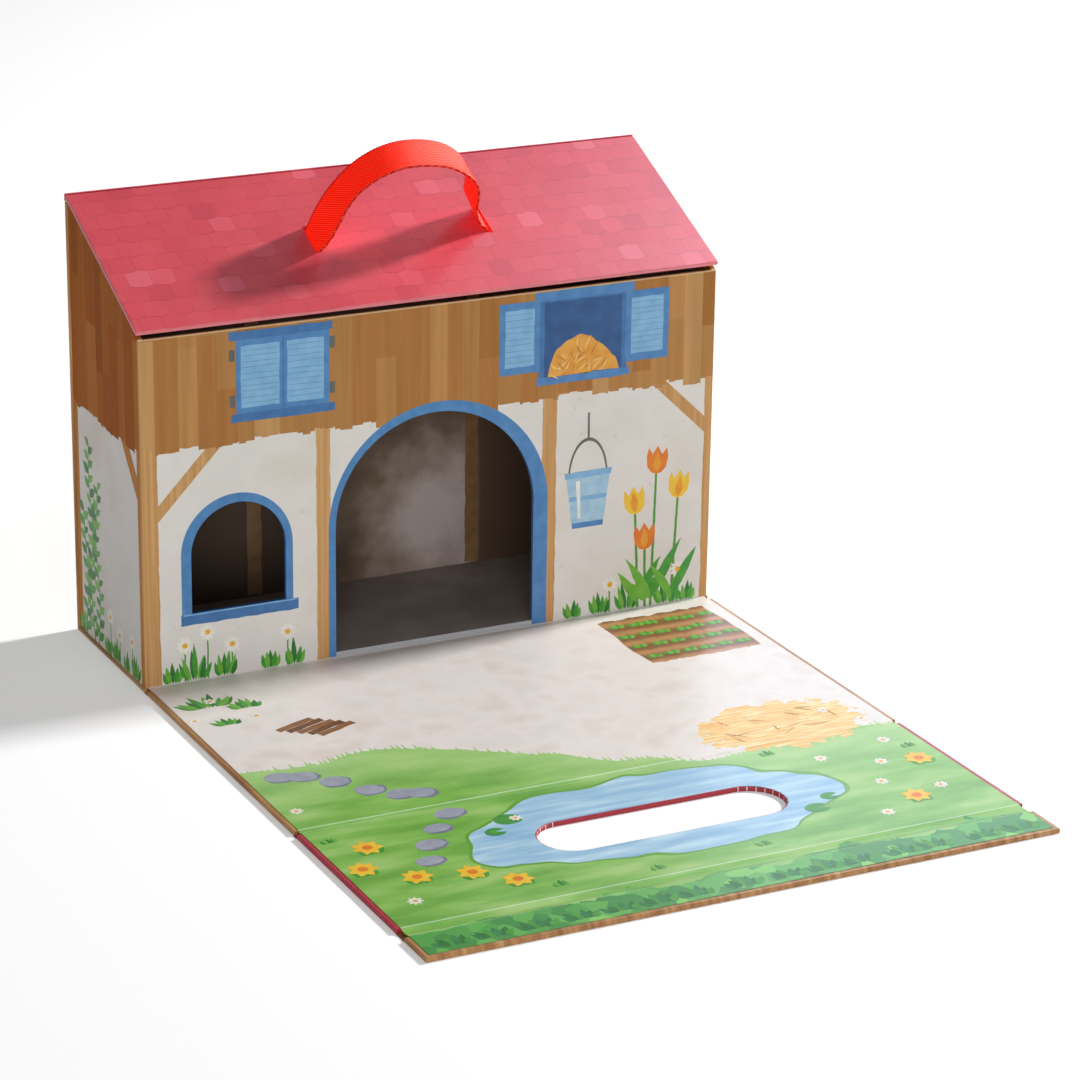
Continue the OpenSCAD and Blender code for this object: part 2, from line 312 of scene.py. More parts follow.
def add_planks(tree, coords):
    """Planks along the wall: gives their colour, and how far each one's end stands from the split."""
    axes = add(tree, "SeparateXYZ", {0: coords}, whole=True).outputs
    along = add(tree, "Math", {0: axes["X"], 1: axes["Y"]}, operation="ADD")
    cell = add(
        tree, "TexVoronoi", {"W": along, "Scale": 1 / (PLANK_MM * MM), "Randomness": 0.75},
        whole=True, voronoi_dimensions="1D",
    ).outputs["Color"]
    chance = add(tree, "SeparateColor", {0: cell}, whole=True).outputs
    climb = add(tree, "Math", {0: axes["Z"], 1: 1 / (95 * MM), 2: chance[1]}, operation="MULTIPLY_ADD")
    piece = add(tree, "Math", {0: climb}, operation="FLOOR")
    key = add(tree, "CombineXYZ", {0: chance[0], 1: piece})
    pick = add(tree, "TexWhiteNoise", {"Vector": key}, noise_dimensions="2D")
    tone = steps(tree, pick, [
        (0.0, "#B88551"), (0.2, "#C18E58"), (0.42, "#B47C49"),
        (0.6, "#BC8853"), (0.84, "#C89A66"), (0.93, "#AA7541"),
    ])
    grain_place = add(tree, "Mapping", {"Vector": coords, "Scale": (260, 260, 9)})
    grain = add(tree, "TexNoise", {"Vector": grain_place, "Scale": 1.0, "Detail": 3.0})
    shade = add(tree, "MapRange", {0: grain, 1: 0.3, 2: 0.7, 3: 0.92, 4: 1.12})
    colour = add(tree, "VectorMath", {0: tone, 1: shade}, operation="MULTIPLY")
    ragged = add(tree, "Math", {0: chance[2], 1: 0.5}, operation="SUBTRACT")
    return axes, along, colour, ragged


def within(tree, value, low, high):
    """1 where a value lies between two limits, and 0 elsewhere."""
    return add(tree, "Math", {0: value, 1: (low + high) / 2, 2: (high - low) / 2}, operation="COMPARE")


def all_of(tree, *masks):
    """The product of several masks."""
    result = masks[0]
    for mask in masks[1:]:
        result = add(tree, "Math", {0: result, 1: mask}, operation="MULTIPLY")
    return result


def any_of(tree, *masks):
    """1 where at least one mask is."""
    result = masks[0]
    for mask in masks[1:]:
        result = add(tree, "Math", {0: result, 1: mask}, operation="MAXIMUM")
    return result


def over(tree, under, colour, mask):
    """One colour laid over another by a mask."""
    return add(tree, "Mix", {0: mask, 6: under, 7: colour}, whole=True, data_type="RGBA").outputs[2]


def brace(tree, coords, start, end, width_mm, on_side=False):
    """The mask of a slanting timber between two points of a wall, in mm across and up."""
    a, b = Vector(start) * MM, Vector(end) * MM
    run = (b - a).normalized()
    square = Vector((-run.y, run.x))
    across = (0, square.x, square.y) if on_side else (square.x, 0, square.y)
    lengthwise = (0, run.x, run.y) if on_side else (run.x, 0, run.y)
    side = add(tree, "VectorMath", {0: coords, 1: across}, whole=True, operation="DOT_PRODUCT")
    far = add(tree, "VectorMath", {0: coords, 1: lengthwise}, whole=True, operation="DOT_PRODUCT")
    middle, half, overrun = a.dot(square), width_mm * MM / 2, 4 * MM
    return all_of(
        tree,
        within(tree, side.outputs["Value"], middle - half, middle + half),
        within(tree, far.outputs["Value"], a.dot(run) - overrun, b.dot(run) + overrun),
    )


def wall_print():
    """The wall paper under a matt film: chalky colours that hardly shine."""
    material, tree, shader, coords = paper_skin("wall_print_laminated", roughness=0.5, gloss=0.02)
    axes, along, planks, ragged = add_planks(tree, coords)
    hand = add(tree, "TexNoise", {"Vector": coords, "Scale": 1 / (13 * MM), "Detail": 2.0})
    wobble = add(tree, "MapRange", {0: hand, 1: 0.3, 2: 0.7, 3: -0.4 * MM, 4: 0.4 * MM})
    stain = add(tree, "TexNoise", {"Vector": coords, "Scale": 1 / (45 * MM), "Detail": 6.0})
    plaster = steps(tree, stain, [(0.3, "#E7E2DD"), (0.5, "#EDE8E4"), (0.72, "#E6DDD3")], smooth=True)
    speck = add(tree, "TexNoise", {"Vector": coords, "Scale": 1 / (5 * MM), "Detail": 1.0})
    flecks = steps(tree, speck, [(0.0, 0.0), (0.70, 0.0), (0.78, 0.35)], smooth=True)
    plaster = over(tree, plaster, linear("#D6CBB2"), flecks)
    # timber, with fine dark lines that run up it
    fibre_place = add(tree, "Mapping", {"Vector": coords, "Scale": (420, 420, 9)})
    fibre = add(tree, "TexNoise", {"Vector": fibre_place, "Scale": 1.0, "Detail": 2.0})
    timber = steps(tree, fibre, [(0.35, "#CA9762"), (0.5, "#D3A16B"), (0.65, "#DBAD79")], smooth=True)
    wood_x = add(tree, "Math", {0: axes["X"], 1: wobble}, operation="ADD")
    on_front = add(tree, "Math", {0: axes["Y"], 1: CORNER_POST_Y}, operation="LESS_THAN")
    at_rear = add(tree, "Math", {0: axes["Y"], 1: REAR_POST_Y}, operation="GREATER_THAN")
    posts = any_of(tree, *[within(tree, wood_x, a * MM, b * MM) for a, b in FRONT_POSTS])
    posts = any_of(tree, all_of(tree, posts, on_front), at_rear)
    plain_face = add(tree, "Math", {0: axes["Y"], 1: FRONT_FACE_Y}, operation="LESS_THAN")
    braces = any_of(
        tree,
        brace(tree, coords, (-161, 98), (-129, 131.5), 6.2),
        brace(tree, coords, (135, 134), (165, 105.5), 6.6),
    )
    side_brace = brace(tree, coords, (-46.5, 112), (-28, 134), 8.5, on_side=True)
    beside = add(tree, "Math", {0: axes["Y"], 1: SIDE_FACE_Y}, operation="GREATER_THAN")
    side_brace = all_of(tree, side_brace, beside)
    wood = any_of(tree, posts, all_of(tree, braces, plain_face), side_brace)
    # painted shade: the timber on the two ends is darkened the same way
    shaded = add(tree, "VectorMath", {0: timber, 1: (0.86, 0.68, 0.48)}, operation="MULTIPLY")
    timber = over(tree, timber, shaded, beside)
    lower = over(tree, plaster, timber, wood)
    # planks reach down to a ragged line
    end_z = add(tree, "Math", {0: ragged, 1: 4.2 * MM, 2: SPLIT_Z}, operation="MULTIPLY_ADD")
    splinter = add(
        tree, "TexVoronoi", {"W": along, "Scale": 1 / (4.5 * MM), "Randomness": 1.0},
        whole=True, voronoi_dimensions="1D",
    ).outputs["Color"]
    splinter = add(tree, "SeparateColor", {0: splinter}, whole=True).outputs[0]
    end_z = add(tree, "Math", {0: splinter, 1: 1.8 * MM, 2: end_z}, operation="MULTIPLY_ADD")
    above = add(tree, "Math", {0: axes["Z"], 1: end_z}, operation="GREATER_THAN")
    # painted shade: the planks on the two ends are darkened, for the shade that the side walls lie in
    shaded = add(tree, "VectorMath", {0: planks, 1: (0.84, 0.53, 0.29)}, operation="MULTIPLY")
    planks = over(tree, planks, shaded, beside)
    picture = over(tree, lower, planks, above)
    # painted highlight: a pale line along the fold at the top of the front, where the rounded edge catches the
    # light
    lit_rim = add(tree, "Math", {0: axes["Z"], 1: wall_hi.z - 0.7 * MM}, operation="GREATER_THAN")
    lit_rim = add(tree, "Math", {0: all_of(tree, lit_rim, plain_face), 1: 0.75}, operation="MULTIPLY")
    tree.links.new(over(tree, picture, linear("#F3D6AA"), lit_rim), shader.inputs["Base Color"])
    return material


def stable_lining():
    """Matt paper inside the barn, printed as a grey plaster wash."""
    return mottled("stable_lining_matt", "#93867A", "#7D6F63", patch_mm=38, roughness=0.6)


def stable_painted_light():
    """The rear wall's wash, painted pale as a pool of light where light falls in through the doorway, and brown
    as shade elsewhere.
    """
    material, tree, shader, coords = paper_skin("stable_picture_matt", roughness=0.6)
    axes = add(tree, "SeparateXYZ", {0: coords}, whole=True).outputs
    wash = add(tree, "TexNoise", {"Vector": coords, "Scale": 1 / (24 * MM), "Detail": 4.0})
    wash = add(tree, "MapRange", {0: wash, 1: 0.3, 2: 0.7, 3: -0.14, 4: 0.14})
    # painted light: a pale pool round where light falls in through the doorway, going over to painted shade in
    # brown further off
    light_pool = add(tree, "Mapping", {"Vector": coords, "Location": (-46 * MM, 0, -38 * MM)})
    light_pool = add(tree, "VectorMath", {0: light_pool, 1: (1, 0, 1)}, operation="MULTIPLY")
    away = add(tree, "VectorMath", {0: light_pool}, whole=True, operation="LENGTH").outputs["Value"]
    away = add(tree, "Math", {0: away, 1: 1 / (100 * MM), 2: wash}, operation="MULTIPLY_ADD")
    glow = steps(tree, away, [
        (0.12, "#C6B7B1"), (0.34, "#A08E84"), (0.52, "#75614F"), (0.8, "#4E3B2C"),
    ], smooth=True)
    # painted shade: dark brown beyond the post
    shade_beyond_post = add(tree, "MapRange", {0: axes["X"], 1: 66 * MM, 2: 74 * MM})
    glow = over(tree, glow, linear("#54402F"), shade_beyond_post)
    tree.links.new(glow, shader.inputs["Base Color"])
    return material


wall_paper = wall_print()
inside_paper = stable_lining()
# the blue turned into the openings: the same print and film, with soft brush marks
jamb_blue = mottled("jamb_blue_laminated", "#35669F", "#3C70AB")
# uncoated grey paper on the floor: dull, with wide faint clouds
floor_paper = mottled("grey_lining_paper", "#A89E97", "#968B84", patch_mm=30, roughness=0.62)
# the board's cut edge: pressed grey pulp in flat layers, quite dull
cut_board = mottled("greyboard_cut_edge", "#C6C8CC", "#B4B6BB", patch_mm=2, roughness=0.7, stretch=(1, 1, 6))
print("wall materials ready")

# %% [markdown]
# ## The tray's walls
# The front wall is one plate with a round-headed doorway that runs down to the floor and a round-headed
# window. The side walls are plates with a sloping top. Where two plates meet in one plane their edges stay
# sharp, so the seam can't be seen. The plate's faces then get their papers by where they look: print
# outside, blue in the openings, lining inside, and the print again on the hem along the top of the inside.

# %% Front and side walls
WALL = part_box("front_wall_lining")[1].y - wall_lo.y
floor_z = wall_lo.z
HEM = 12 * MM
DOOR = {"x": -0.4 * MM, "radius": 59.2 * MM, "top": 134.4 * MM}
WINDOW = {"x": -115.5 * MM, "radius": 27.0 * MM, "top": 99.5 * MM, "sill": 40.5 * MM}
inner_x = side_face - WALL


def round_head(opening, bottom, count=40):
    """The outline of an opening with a round head, from its left foot over the crown to its right foot."""
    x, r, spring = opening["x"], opening["radius"], opening["top"] - opening["radius"]
    return [(x - r, bottom)] + arc(x, spring, r, 180, 0, count) + [(x + r, bottom)]


def paper_faces(bm, outside, hem_below, openings=()):
    """Gives every face its paper: 0 for the print and its hem, 1 for the lining, 2 in an opening."""
    room = 0.1 * MM
    for face in bm.faces:
        middle = face.calc_center_median()
        outward = face.normal.dot(outside)
        face.material_index = 1 if outward < -0.3 and middle.z <= hem_below else 0
        for opening in openings:
            inside = abs(middle.x - opening["x"]) < opening["radius"] + room
            inside = inside and opening.get("sill", 0) - 2 * room < middle.z < opening["top"] + room
            if inside and abs(outward) < 0.95:
                face.material_index = 2


top_z = wall_hi.z
door_path = round_head(DOOR, floor_z)
front_outline = [(-inner_x, floor_z)] + door_path + [(inner_x, floor_z), (inner_x, top_z), (-inner_x, top_z)]
window_path = round_head(WINDOW, WINDOW["sill"])
front = plate(
    front_outline, [window_path], WALL, EDGE_ROUND,
    sharp=lambda m: abs(abs(m.x) - inner_x) < ON_LINE or m.y < floor_z + ON_LINE,
)
front_frame = stand((1, 0, 0), (0, 0, 1), (0, wall_lo.y + WALL, 0))
bmesh.ops.transform(front, matrix=front_frame, verts=front.verts)
bmesh.ops.bisect_plane(
    front, geom=front.faces[:] + front.edges[:] + front.verts[:],
    plane_co=(0, 0, top_z - HEM), plane_no=(0, 0, 1),
)
paper_faces(front, Vector((0, -1, 0)), top_z - HEM, (DOOR, WINDOW))
finish_piece(
    "front_wall_wrapped", front, [wall_paper, inside_paper, jamb_blue], "barn",
    ("front_wall", "front_wall_print", "front_wall_lining"),
)

rear_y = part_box("left_wall_print")[1].y
rear_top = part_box("left_wall_print")[1].z
for side, name in ((-1, "left_wall"), (1, "right_wall")):
    outline = [(wall_lo.y, floor_z), (rear_y, floor_z), (rear_y, rear_top), (wall_lo.y, top_z)]
    if side < 0:
        outline = [(-y, z) for y, z in outline]
    front_edge = side * wall_lo.y
    wall = plate(
        outline, [], WALL, EDGE_ROUND,
        sharp=lambda m: m.y < floor_z + ON_LINE or abs(m.x - side * rear_y) < ON_LINE
        or (abs(m.x - front_edge) < ON_LINE and m.z < ON_LINE),
    )
    side_frame = stand((0, side, 0), (0, 0, 1), (side * inner_x, 0, 0))
    bmesh.ops.transform(wall, matrix=side_frame, verts=wall.verts)
    slope = (rear_top - top_z) / (rear_y - wall_lo.y)
    bmesh.ops.bisect_plane(
        wall, geom=wall.faces[:] + wall.edges[:] + wall.verts[:],
        plane_co=(0, wall_lo.y, top_z - HEM), plane_no=Vector((0, -slope, 1)).normalized(),
    )
    outside = Vector((side, 0, 0))
    for face in wall.faces:
        middle = face.calc_center_median()
        hem_z = top_z - HEM + (middle.y - wall_lo.y) * slope
        face.material_index = 1 if face.normal.dot(outside) < -0.3 and middle.z < hem_z else 0
    finish_piece(
        name + "_wrapped", wall, [wall_paper, inside_paper], "barn",
        (name, name + "_print", name + "_lining"),
    )
print("walls stand from", round(floor_z / MM, 2), "to", round(rear_top / MM, 2), "mm")

# %% [markdown]
# ## Wood-brown wrap
# The case boards, and the edges all round the open mat, are wrapped in paper printed like light brown wood,
# with soft bands along the board and finer lines in them.

# %% The brown wrap and the case boards
def wood_wrap(name, light, dark, stretch):
    """Laminated paper printed with wood, half glossy. Its lines are longest where the stretch is least."""
    material, tree, shader, coords = paper_skin(name)
    bands = add(tree, "Mapping", {"Vector": coords, "Scale": stretch})
    drift = add(tree, "TexNoise", {"Vector": bands, "Scale": 1.0, "Detail": 3.0})
    tone = steps(tree, drift, [(0.36, dark), (0.52, light), (0.68, "#CFA26C")], smooth=True)
    tree.links.new(tone, shader.inputs["Base Color"])
    return material


brown_wrap = wood_wrap("brown_wrap_laminated", "#B9854F", "#A06C3C", (260, 20, 60))
upright_wrap = wood_wrap("brown_wrap_upright", "#B9854F", "#A06C3C", (210, 210, 9))
for name, node, wrap in (
    ("base_board_wrapped", "base_panel", brown_wrap), ("back_board_wrapped", "back_panel", upright_wrap),
):
    lo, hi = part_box(node)
    finish_piece(name, wrapped_box(lo, hi, EDGE_ROUND), [wrap], "barn", (node,))

# %% [markdown]
# ## Floor and rear wall
# The tray's floor board runs out through the doorway, and its grey front edge shows there. It is one plate
# with a tongue, so it is drawn as an outline. The rear wall only shows through the openings.

# %% Floor and rear wall
board_lo, board_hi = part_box("floor_board")
tongue = DOOR["radius"]
inner_y = wall_lo.y + WALL
floor_outline = [
    (-inner_x, inner_y), (DOOR["x"] - tongue, inner_y), (DOOR["x"] - tongue, board_lo.y),
    (DOOR["x"] + tongue, board_lo.y), (DOOR["x"] + tongue, inner_y), (inner_x, inner_y),
    (inner_x, board_hi.y), (-inner_x, board_hi.y),
]
floor_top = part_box("floor_lining")[1].z
floor_plate = plate(floor_outline, [], floor_top - board_lo.z, 0.3 * MM)
bmesh.ops.translate(floor_plate, vec=(0, 0, board_lo.z), verts=floor_plate.verts)
for face in floor_plate.faces:
    face.material_index = 1 if face.normal.y < -0.5 else 0
finish_piece(
    "floor_board_lined", floor_plate, [floor_paper, cut_board], "barn",
    ("floor_board", "floor_lining"),
)
lo, hi = both("rear_wall", "rear_wall_lining")
lo.x, hi.x, lo.z = -inner_x, inner_x, floor_top
finish_piece(
    "rear_wall_lined", wrapped_box(lo, hi, 0.4 * MM), [stable_painted_light()], "barn",
    ("rear_wall", "rear_wall_lining"),
)

# %% [markdown]
# ## Roof tiles
# The roof's paper shows plain clay tiles in rows 12 mm deep. Each tile hangs down a little in the middle of
# its lower edge, over the row below it. The shader finds the row under a point, asks whether the row above
# hangs over it there, and then numbers the tile, so that a few tiles can be paler or darker than the rest.

# %% Tile paper
ROW_MM, TILE_MM = 12.0, 13.2
HANG = 0.13  # how far a tile hangs over the next row, as a share of a row
FIRST_ROW_MM = 8.0
LINE_HALF, JOINT_HALF_MM = 0.024, 0.16  # half a drawn line: along the rows in shares, between tiles in mm
down_roof = Vector((0, -math.cos(PITCH), -math.sin(PITCH)))


def tile_print(name, down, origin):
    """Rows of tiles under a glossy film, that follow a direction down from a line across the case."""
    material, tree, shader, coords = paper_skin(name, roughness=0.38, gloss=1.0)
    drift = add(tree, "TexNoise", {"Vector": coords, "Scale": 1 / (11 * MM), "Detail": 2.0}, whole=True)
    shake = add(tree, "VectorMath", {0: drift.outputs["Color"], 1: (0.5, 0.5, 0.5)}, operation="SUBTRACT")
    moved = add(tree, "VectorMath", {0: shake, 1: (1.6 * MM,) * 3, 2: coords}, operation="MULTIPLY_ADD")
    run = add(tree, "VectorMath", {0: moved, 1: down}, whole=True, operation="DOT_PRODUCT")
    run = run.outputs["Value"]
    start = down.dot(origin) + (FIRST_ROW_MM - ROW_MM) * MM
    rows = add(tree, "Math", {0: run, 1: start}, operation="SUBTRACT")
    rows = add(tree, "Math", {0: rows, 1: ROW_MM * MM}, operation="DIVIDE")
    row = add(tree, "Math", {0: rows}, operation="FLOOR")
    depth = add(tree, "Math", {0: rows}, operation="FRACT")
    x = add(tree, "SeparateXYZ", {0: moved}, whole=True).outputs["X"]
    columns = add(tree, "Math", {0: x, 1: TILE_MM * MM}, operation="DIVIDE")
    found = []
    for back_rows in (1, 0):
        number = add(tree, "Math", {0: row, 1: back_rows}, operation="SUBTRACT")
        half = add(tree, "Math", {0: number, 1: 2.0}, operation="FLOORED_MODULO")
        luck = add(tree, "TexWhiteNoise", {"W": number}, noise_dimensions="1D")
        offset = add(tree, "Math", {0: half, 1: 0.5}, operation="MULTIPLY")
        offset = add(tree, "Math", {0: luck, 1: 0.22, 2: offset}, operation="MULTIPLY_ADD")
        place_in_row = add(tree, "Math", {0: columns, 1: offset}, operation="ADD")
        tile = add(tree, "Math", {0: place_in_row}, operation="FLOOR")
        across = add(tree, "Math", {0: place_in_row}, operation="FRACT")
        off_middle = add(tree, "Math", {0: across, 1: 2.0, 2: -1.0}, operation="MULTIPLY_ADD")
        bow = add(tree, "Math", {0: off_middle, 1: off_middle}, operation="MULTIPLY")
        bow = add(tree, "Math", {0: bow, 1: -HANG, 2: HANG}, operation="MULTIPLY_ADD")
        found.append((number, tile, across, bow))
    (up_row, up_tile, up_across, hang), (own_row, own_tile, own_across, _) = found
    covered = add(tree, "Math", {0: depth, 1: hang}, operation="LESS_THAN")
    tile, number, across = (
        add(tree, "Mix", {0: covered, 2: own, 3: up}, data_type="FLOAT")
        for own, up in ((own_tile, up_tile), (own_row, up_row), (own_across, up_across))
    )
    key = add(tree, "CombineXYZ", {0: tile, 1: number})
    luck = add(tree, "TexWhiteNoise", {"Vector": key}, noise_dimensions="2D")
    tone = steps(tree, luck, [
        (0.0, "#DC4959"), (0.07, "#E34D5B"), (0.45, "#E5515E"),
        (0.84, "#E14B59"), (0.91, "#EB5C6B"), (0.96, "#EF6676"),
    ])
    wash = add(tree, "TexNoise", {"Vector": coords, "Scale": 1 / (30 * MM), "Detail": 5.0})
    wash = add(tree, "MapRange", {0: wash, 1: 0.3, 2: 0.7, 3: 0.94, 4: 1.05})
    tone = add(tree, "VectorMath", {0: tone, 1: wash}, operation="MULTIPLY")
    edge = add(tree, "Math", {0: depth, 1: hang}, operation="SUBTRACT")
    row_line = within(tree, edge, -LINE_HALF, LINE_HALF)
    gap = add(tree, "Math", {0: across, 1: 0.5}, operation="SUBTRACT")
    gap = add(tree, "Math", {0: gap}, operation="ABSOLUTE")
    joint_line = add(tree, "Math", {0: gap, 1: 0.5 - JOINT_HALF_MM / TILE_MM}, operation="GREATER_THAN")
    worn = add(tree, "TexNoise", {"Vector": coords, "Scale": 1 / (6 * MM), "Detail": 2.0})
    worn = add(tree, "MapRange", {0: worn, 1: 0.35, 2: 0.65, 3: 0.14, 4: 0.66})
    line = add(tree, "Math", {0: any_of(tree, row_line, joint_line), 1: worn}, operation="MULTIPLY")
    picture = over(tree, tone, linear("#AC3040"), line)
    # painted highlight: a pale band along the left and right edges and the eaves, where the rounded edges catch
    # the light
    side = add(tree, "Math", {0: x}, operation="ABSOLUTE")
    side = add(tree, "Math", {0: side, 1: cad_box[1][0] - 0.75 * MM}, operation="GREATER_THAN")
    low = add(tree, "Math", {0: run, 1: down.dot(origin) + EAVES - 0.5 * MM}, operation="GREATER_THAN")
    edge_highlight = add(tree, "Math", {0: any_of(tree, side, low), 1: 0.45}, operation="MULTIPLY")
    tree.links.new(over(tree, picture, linear("#E89AA4"), edge_highlight), shader.inputs["Base Color"])
    return material


EAVES = max(down_roof.dot(v.co - ridge) for v in frame["nodes"]["roof_panel"].data.vertices)
roof_paper = tile_print("roof_print_laminated", down_roof, ridge)
print("roof rows of", ROW_MM, "mm")

# %% [markdown]
# ## The roof board
# The roof is a wrapped plate with two slots for the webbing. It is drawn flat, with X across and Y up the
# slope, and turned about the ridge by the roof's pitch.

# %% Roof with its slots
roof_frame = stand((1, 0, 0), -down_roof, ridge)
to_roof = roof_frame.inverted()
roof_corners = [to_roof @ v.co for v in frame["nodes"]["roof_panel"].data.vertices]
roof_u0, roof_u1 = min(c.y for c in roof_corners), max(c.y for c in roof_corners)
roof_x = max(c.x for c in roof_corners)
BOARD = 2.5 * MM
STRAP = {
    "u": -59 * MM, "reach": 50 * MM, "width": 20 * MM, "thick": 1.2 * MM, "height": 53 * MM, "tail": 26 * MM,
}
SLOT_X, SLOT_W, SLOT_L = STRAP["reach"] + 0.6 * MM, 3.4 * MM, STRAP["width"] + 2 * MM


def rectangle(x0, x1, y0, y1):
    """The corners of a rectangle."""
    return [(x0, y0), (x1, y0), (x1, y1), (x0, y1)]


slots = [
    rectangle(x - SLOT_W / 2, x + SLOT_W / 2, STRAP["u"] - SLOT_L / 2, STRAP["u"] + SLOT_L / 2)
    for x in (-SLOT_X, SLOT_X)
]
roof = plate(
    rectangle(-roof_x, roof_x, roof_u0, roof_u1), slots, BOARD, 0.8 * MM,
    sharp=lambda m: abs(m.x) < 60 * MM and abs(m.y - STRAP["u"]) < 20 * MM,
)
bmesh.ops.translate(roof, vec=(0, 0, -BOARD), verts=roof.verts)
bmesh.ops.transform(roof, matrix=roof_frame, verts=roof.verts)
finish_piece("roof_board_wrapped", roof, [roof_paper], "roof", ("roof_panel",))
frame["nodes"]["roof_lining"].data.materials.clear()
frame["nodes"]["roof_lining"].data.materials.append(inside_paper)

# %% [markdown]
# ## The magnets
# Four small round magnets lie in blind pockets under the paper, so they are only seen where the paper is
# taken off. They are nickel plated: a bright metal whose barrel polish leaves a slight, fine mottle.

# %% Nickel plating
nickel = bpy.data.materials.new("nickel_plated_magnet")
nickel.use_nodes = True
tree = nickel.node_tree
nickel_shader = tree.nodes["Principled BSDF"]
nickel_shader.inputs["Metallic"].default_value = 1.0
nickel_place = add(tree, "TexCoord", whole=True).outputs["Object"]
mottle = add(tree, "TexNoise", {"Vector": nickel_place, "Scale": 1 / (0.8 * MM), "Detail": 3.0})
plating = steps(tree, mottle, [(0.3, "#C4BFB4"), (0.7, "#D9D4C8")], smooth=True)
tree.links.new(plating, nickel_shader.inputs["Base Color"])
tree.links.new(add(tree, "MapRange", {0: mottle, 3: 0.18, 4: 0.34}), nickel_shader.inputs["Roughness"])
for node in ("back_magnets", "lip_magnets"):
    frame["nodes"][node].data.materials.clear()
    frame["nodes"][node].data.materials.append(nickel)
print("magnets plated")

# %% [markdown]
# ## The ridge
# The roof paper goes on over the ridge and down to the back board, over book cloth. It is a thin strip with
# a rounded fold, made by pulling its outline across the case.

# %% Ridge joint
ridge_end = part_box("ridge_hinge")[1].x
FOLD_R = 0.8 * MM
RIDGE_LAP = 1.6 * MM  # how far the strip reaches down the roof
FOLD_STEPS = 8
back_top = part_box("back_panel")[1].z
fold_centre_y = ridge.y - FOLD_R
fold_centre_z = ridge.z - FOLD_R * (1 + math.sin(PITCH)) / math.cos(PITCH)
fold = [
    (fold_centre_y + FOLD_R * math.cos(a), fold_centre_z + FOLD_R * math.sin(a))
    for a in [i / FOLD_STEPS * (math.pi / 2 + PITCH) for i in range(FOLD_STEPS + 1)]
]
roof_edge = ridge + down_roof * RIDGE_LAP
outer = [(ridge.y, back_top)] + fold + [(roof_edge.y, roof_edge.z)]
strip = bmesh.new()
chain = [strip.verts.new((-ridge_end, y, z)) for y, z in outer]
for a, b in zip(chain, chain[1:]):
    strip.edges.new((a, b))
pulled = bmesh.ops.extrude_edge_only(strip, edges=strip.edges[:])["geom"]
far_side = [v for v in pulled if isinstance(v, bmesh.types.BMVert)]
bmesh.ops.translate(strip, vec=(2 * ridge_end, 0, 0), verts=far_side)
bmesh.ops.recalc_face_normals(strip, faces=strip.faces)
if strip.faces[0].normal.y < 0:
    bmesh.ops.reverse_faces(strip, faces=strip.faces)
bmesh.ops.solidify(strip, geom=strip.faces[:], thickness=CLOTH)
ridge_piece = finish_piece("ridge_joint", strip, [roof_paper], None, ("ridge_hinge",))
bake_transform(ridge_piece)

# %% [markdown]
# ## The webbing handle
# The handle is one length of woven polyester, 20 mm wide. Its ends go down through the slots and are glued
# under the roof. The arch isn't even: it leans to the left, and the right leg folds in before its foot.
# It is a grid swept along that line, thickened, with the small loops of its selvedge along both edges.
# Its own UV map runs across and along the webbing, in metres, so that the weave follows every bend.

# %% Sweep the webbing
def curve_point(p, t):
    """A point of a cubic curve."""
    a, b, c, d = (Vector(q) for q in p)
    return (1 - t) ** 3 * a + 3 * (1 - t) ** 2 * t * b + 3 * (1 - t) * t * t * c + t ** 3 * d


reach, high = STRAP["reach"], STRAP["height"]
rise = [(-reach, 0), (-reach + 3 * MM, 0.42 * high), (-0.66 * reach, high), (-2 * MM, high)]
fall = [(-2 * MM, high), (0.48 * reach, high), (reach - 10 * MM, 0.72 * high), (reach - 9 * MM, 0.36 * high)]
knee = [
    (reach - 9 * MM, 0.36 * high), (reach - 8.6 * MM, 0.16 * high), (reach - 1 * MM, 0.16 * high), (reach, 0),
]
under = -BOARD + STRAP["thick"] / 2
TURN = 1.0 * MM  # the webbing turns this far round the slot's lower edge
line = [Vector(p) for p in ((-reach - STRAP["tail"], under), (-reach - TURN, under), (-reach, under + TURN))]
for part in (rise, fall, knee):
    line += [curve_point(part, i / 60) for i in range(1 if part is not rise else 0, 61)]
line += [Vector(p) for p in ((reach, under + TURN), (reach + TURN, under), (reach + STRAP["tail"], under))]
lengths = [0.0]
for a, b in zip(line, line[1:]):
    lengths.append(lengths[-1] + (b - a).length)


def along_line(distance):
    """The point and direction of the webbing's middle line at a distance from its end."""
    for i in range(len(line) - 1):
        if distance <= lengths[i + 1] or i == len(line) - 2:
            share = (distance - lengths[i]) / (lengths[i + 1] - lengths[i])
            return line[i].lerp(line[i + 1], share), (line[i + 1] - line[i]).normalized()


# how far the front edge hangs inwards, in mm, at shares of the arch from the left foot to the right
SAG = [
    (0.0, 0.0), (0.03, 2.6), (0.07, 4.0), (0.13, 3.6), (0.19, 1.8), (0.26, 0.4), (0.4, 0.9),
    (0.55, 1.5), (0.67, 1.5), (0.78, 0.2), (0.88, 1.2), (0.95, 2.6), (1.0, 0.0),
]
arch_start, arch_end = lengths[2], lengths[-3]
CROWN_RISE = 0.5 * MM  # how far the crown's rear edge stands above its middle
LOOP = 1.8 * MM  # one loop of the selvedge
SCALLOP, SCALLOP_ROOM = 0.45 * MM, 0.5 * MM


def front_sag(distance):
    """The sag of the webbing's front edge at a distance along it."""
    share = (distance - arch_start) / (arch_end - arch_start)
    for (s0, d0), (s1, d1) in zip(SAG, SAG[1:]):
        if s0 <= share <= s1:
            ease = 0.5 - 0.5 * math.cos(math.pi * (share - s0) / (s1 - s0))
            return (d0 + (d1 - d0) * ease) * MM
    return 0.0


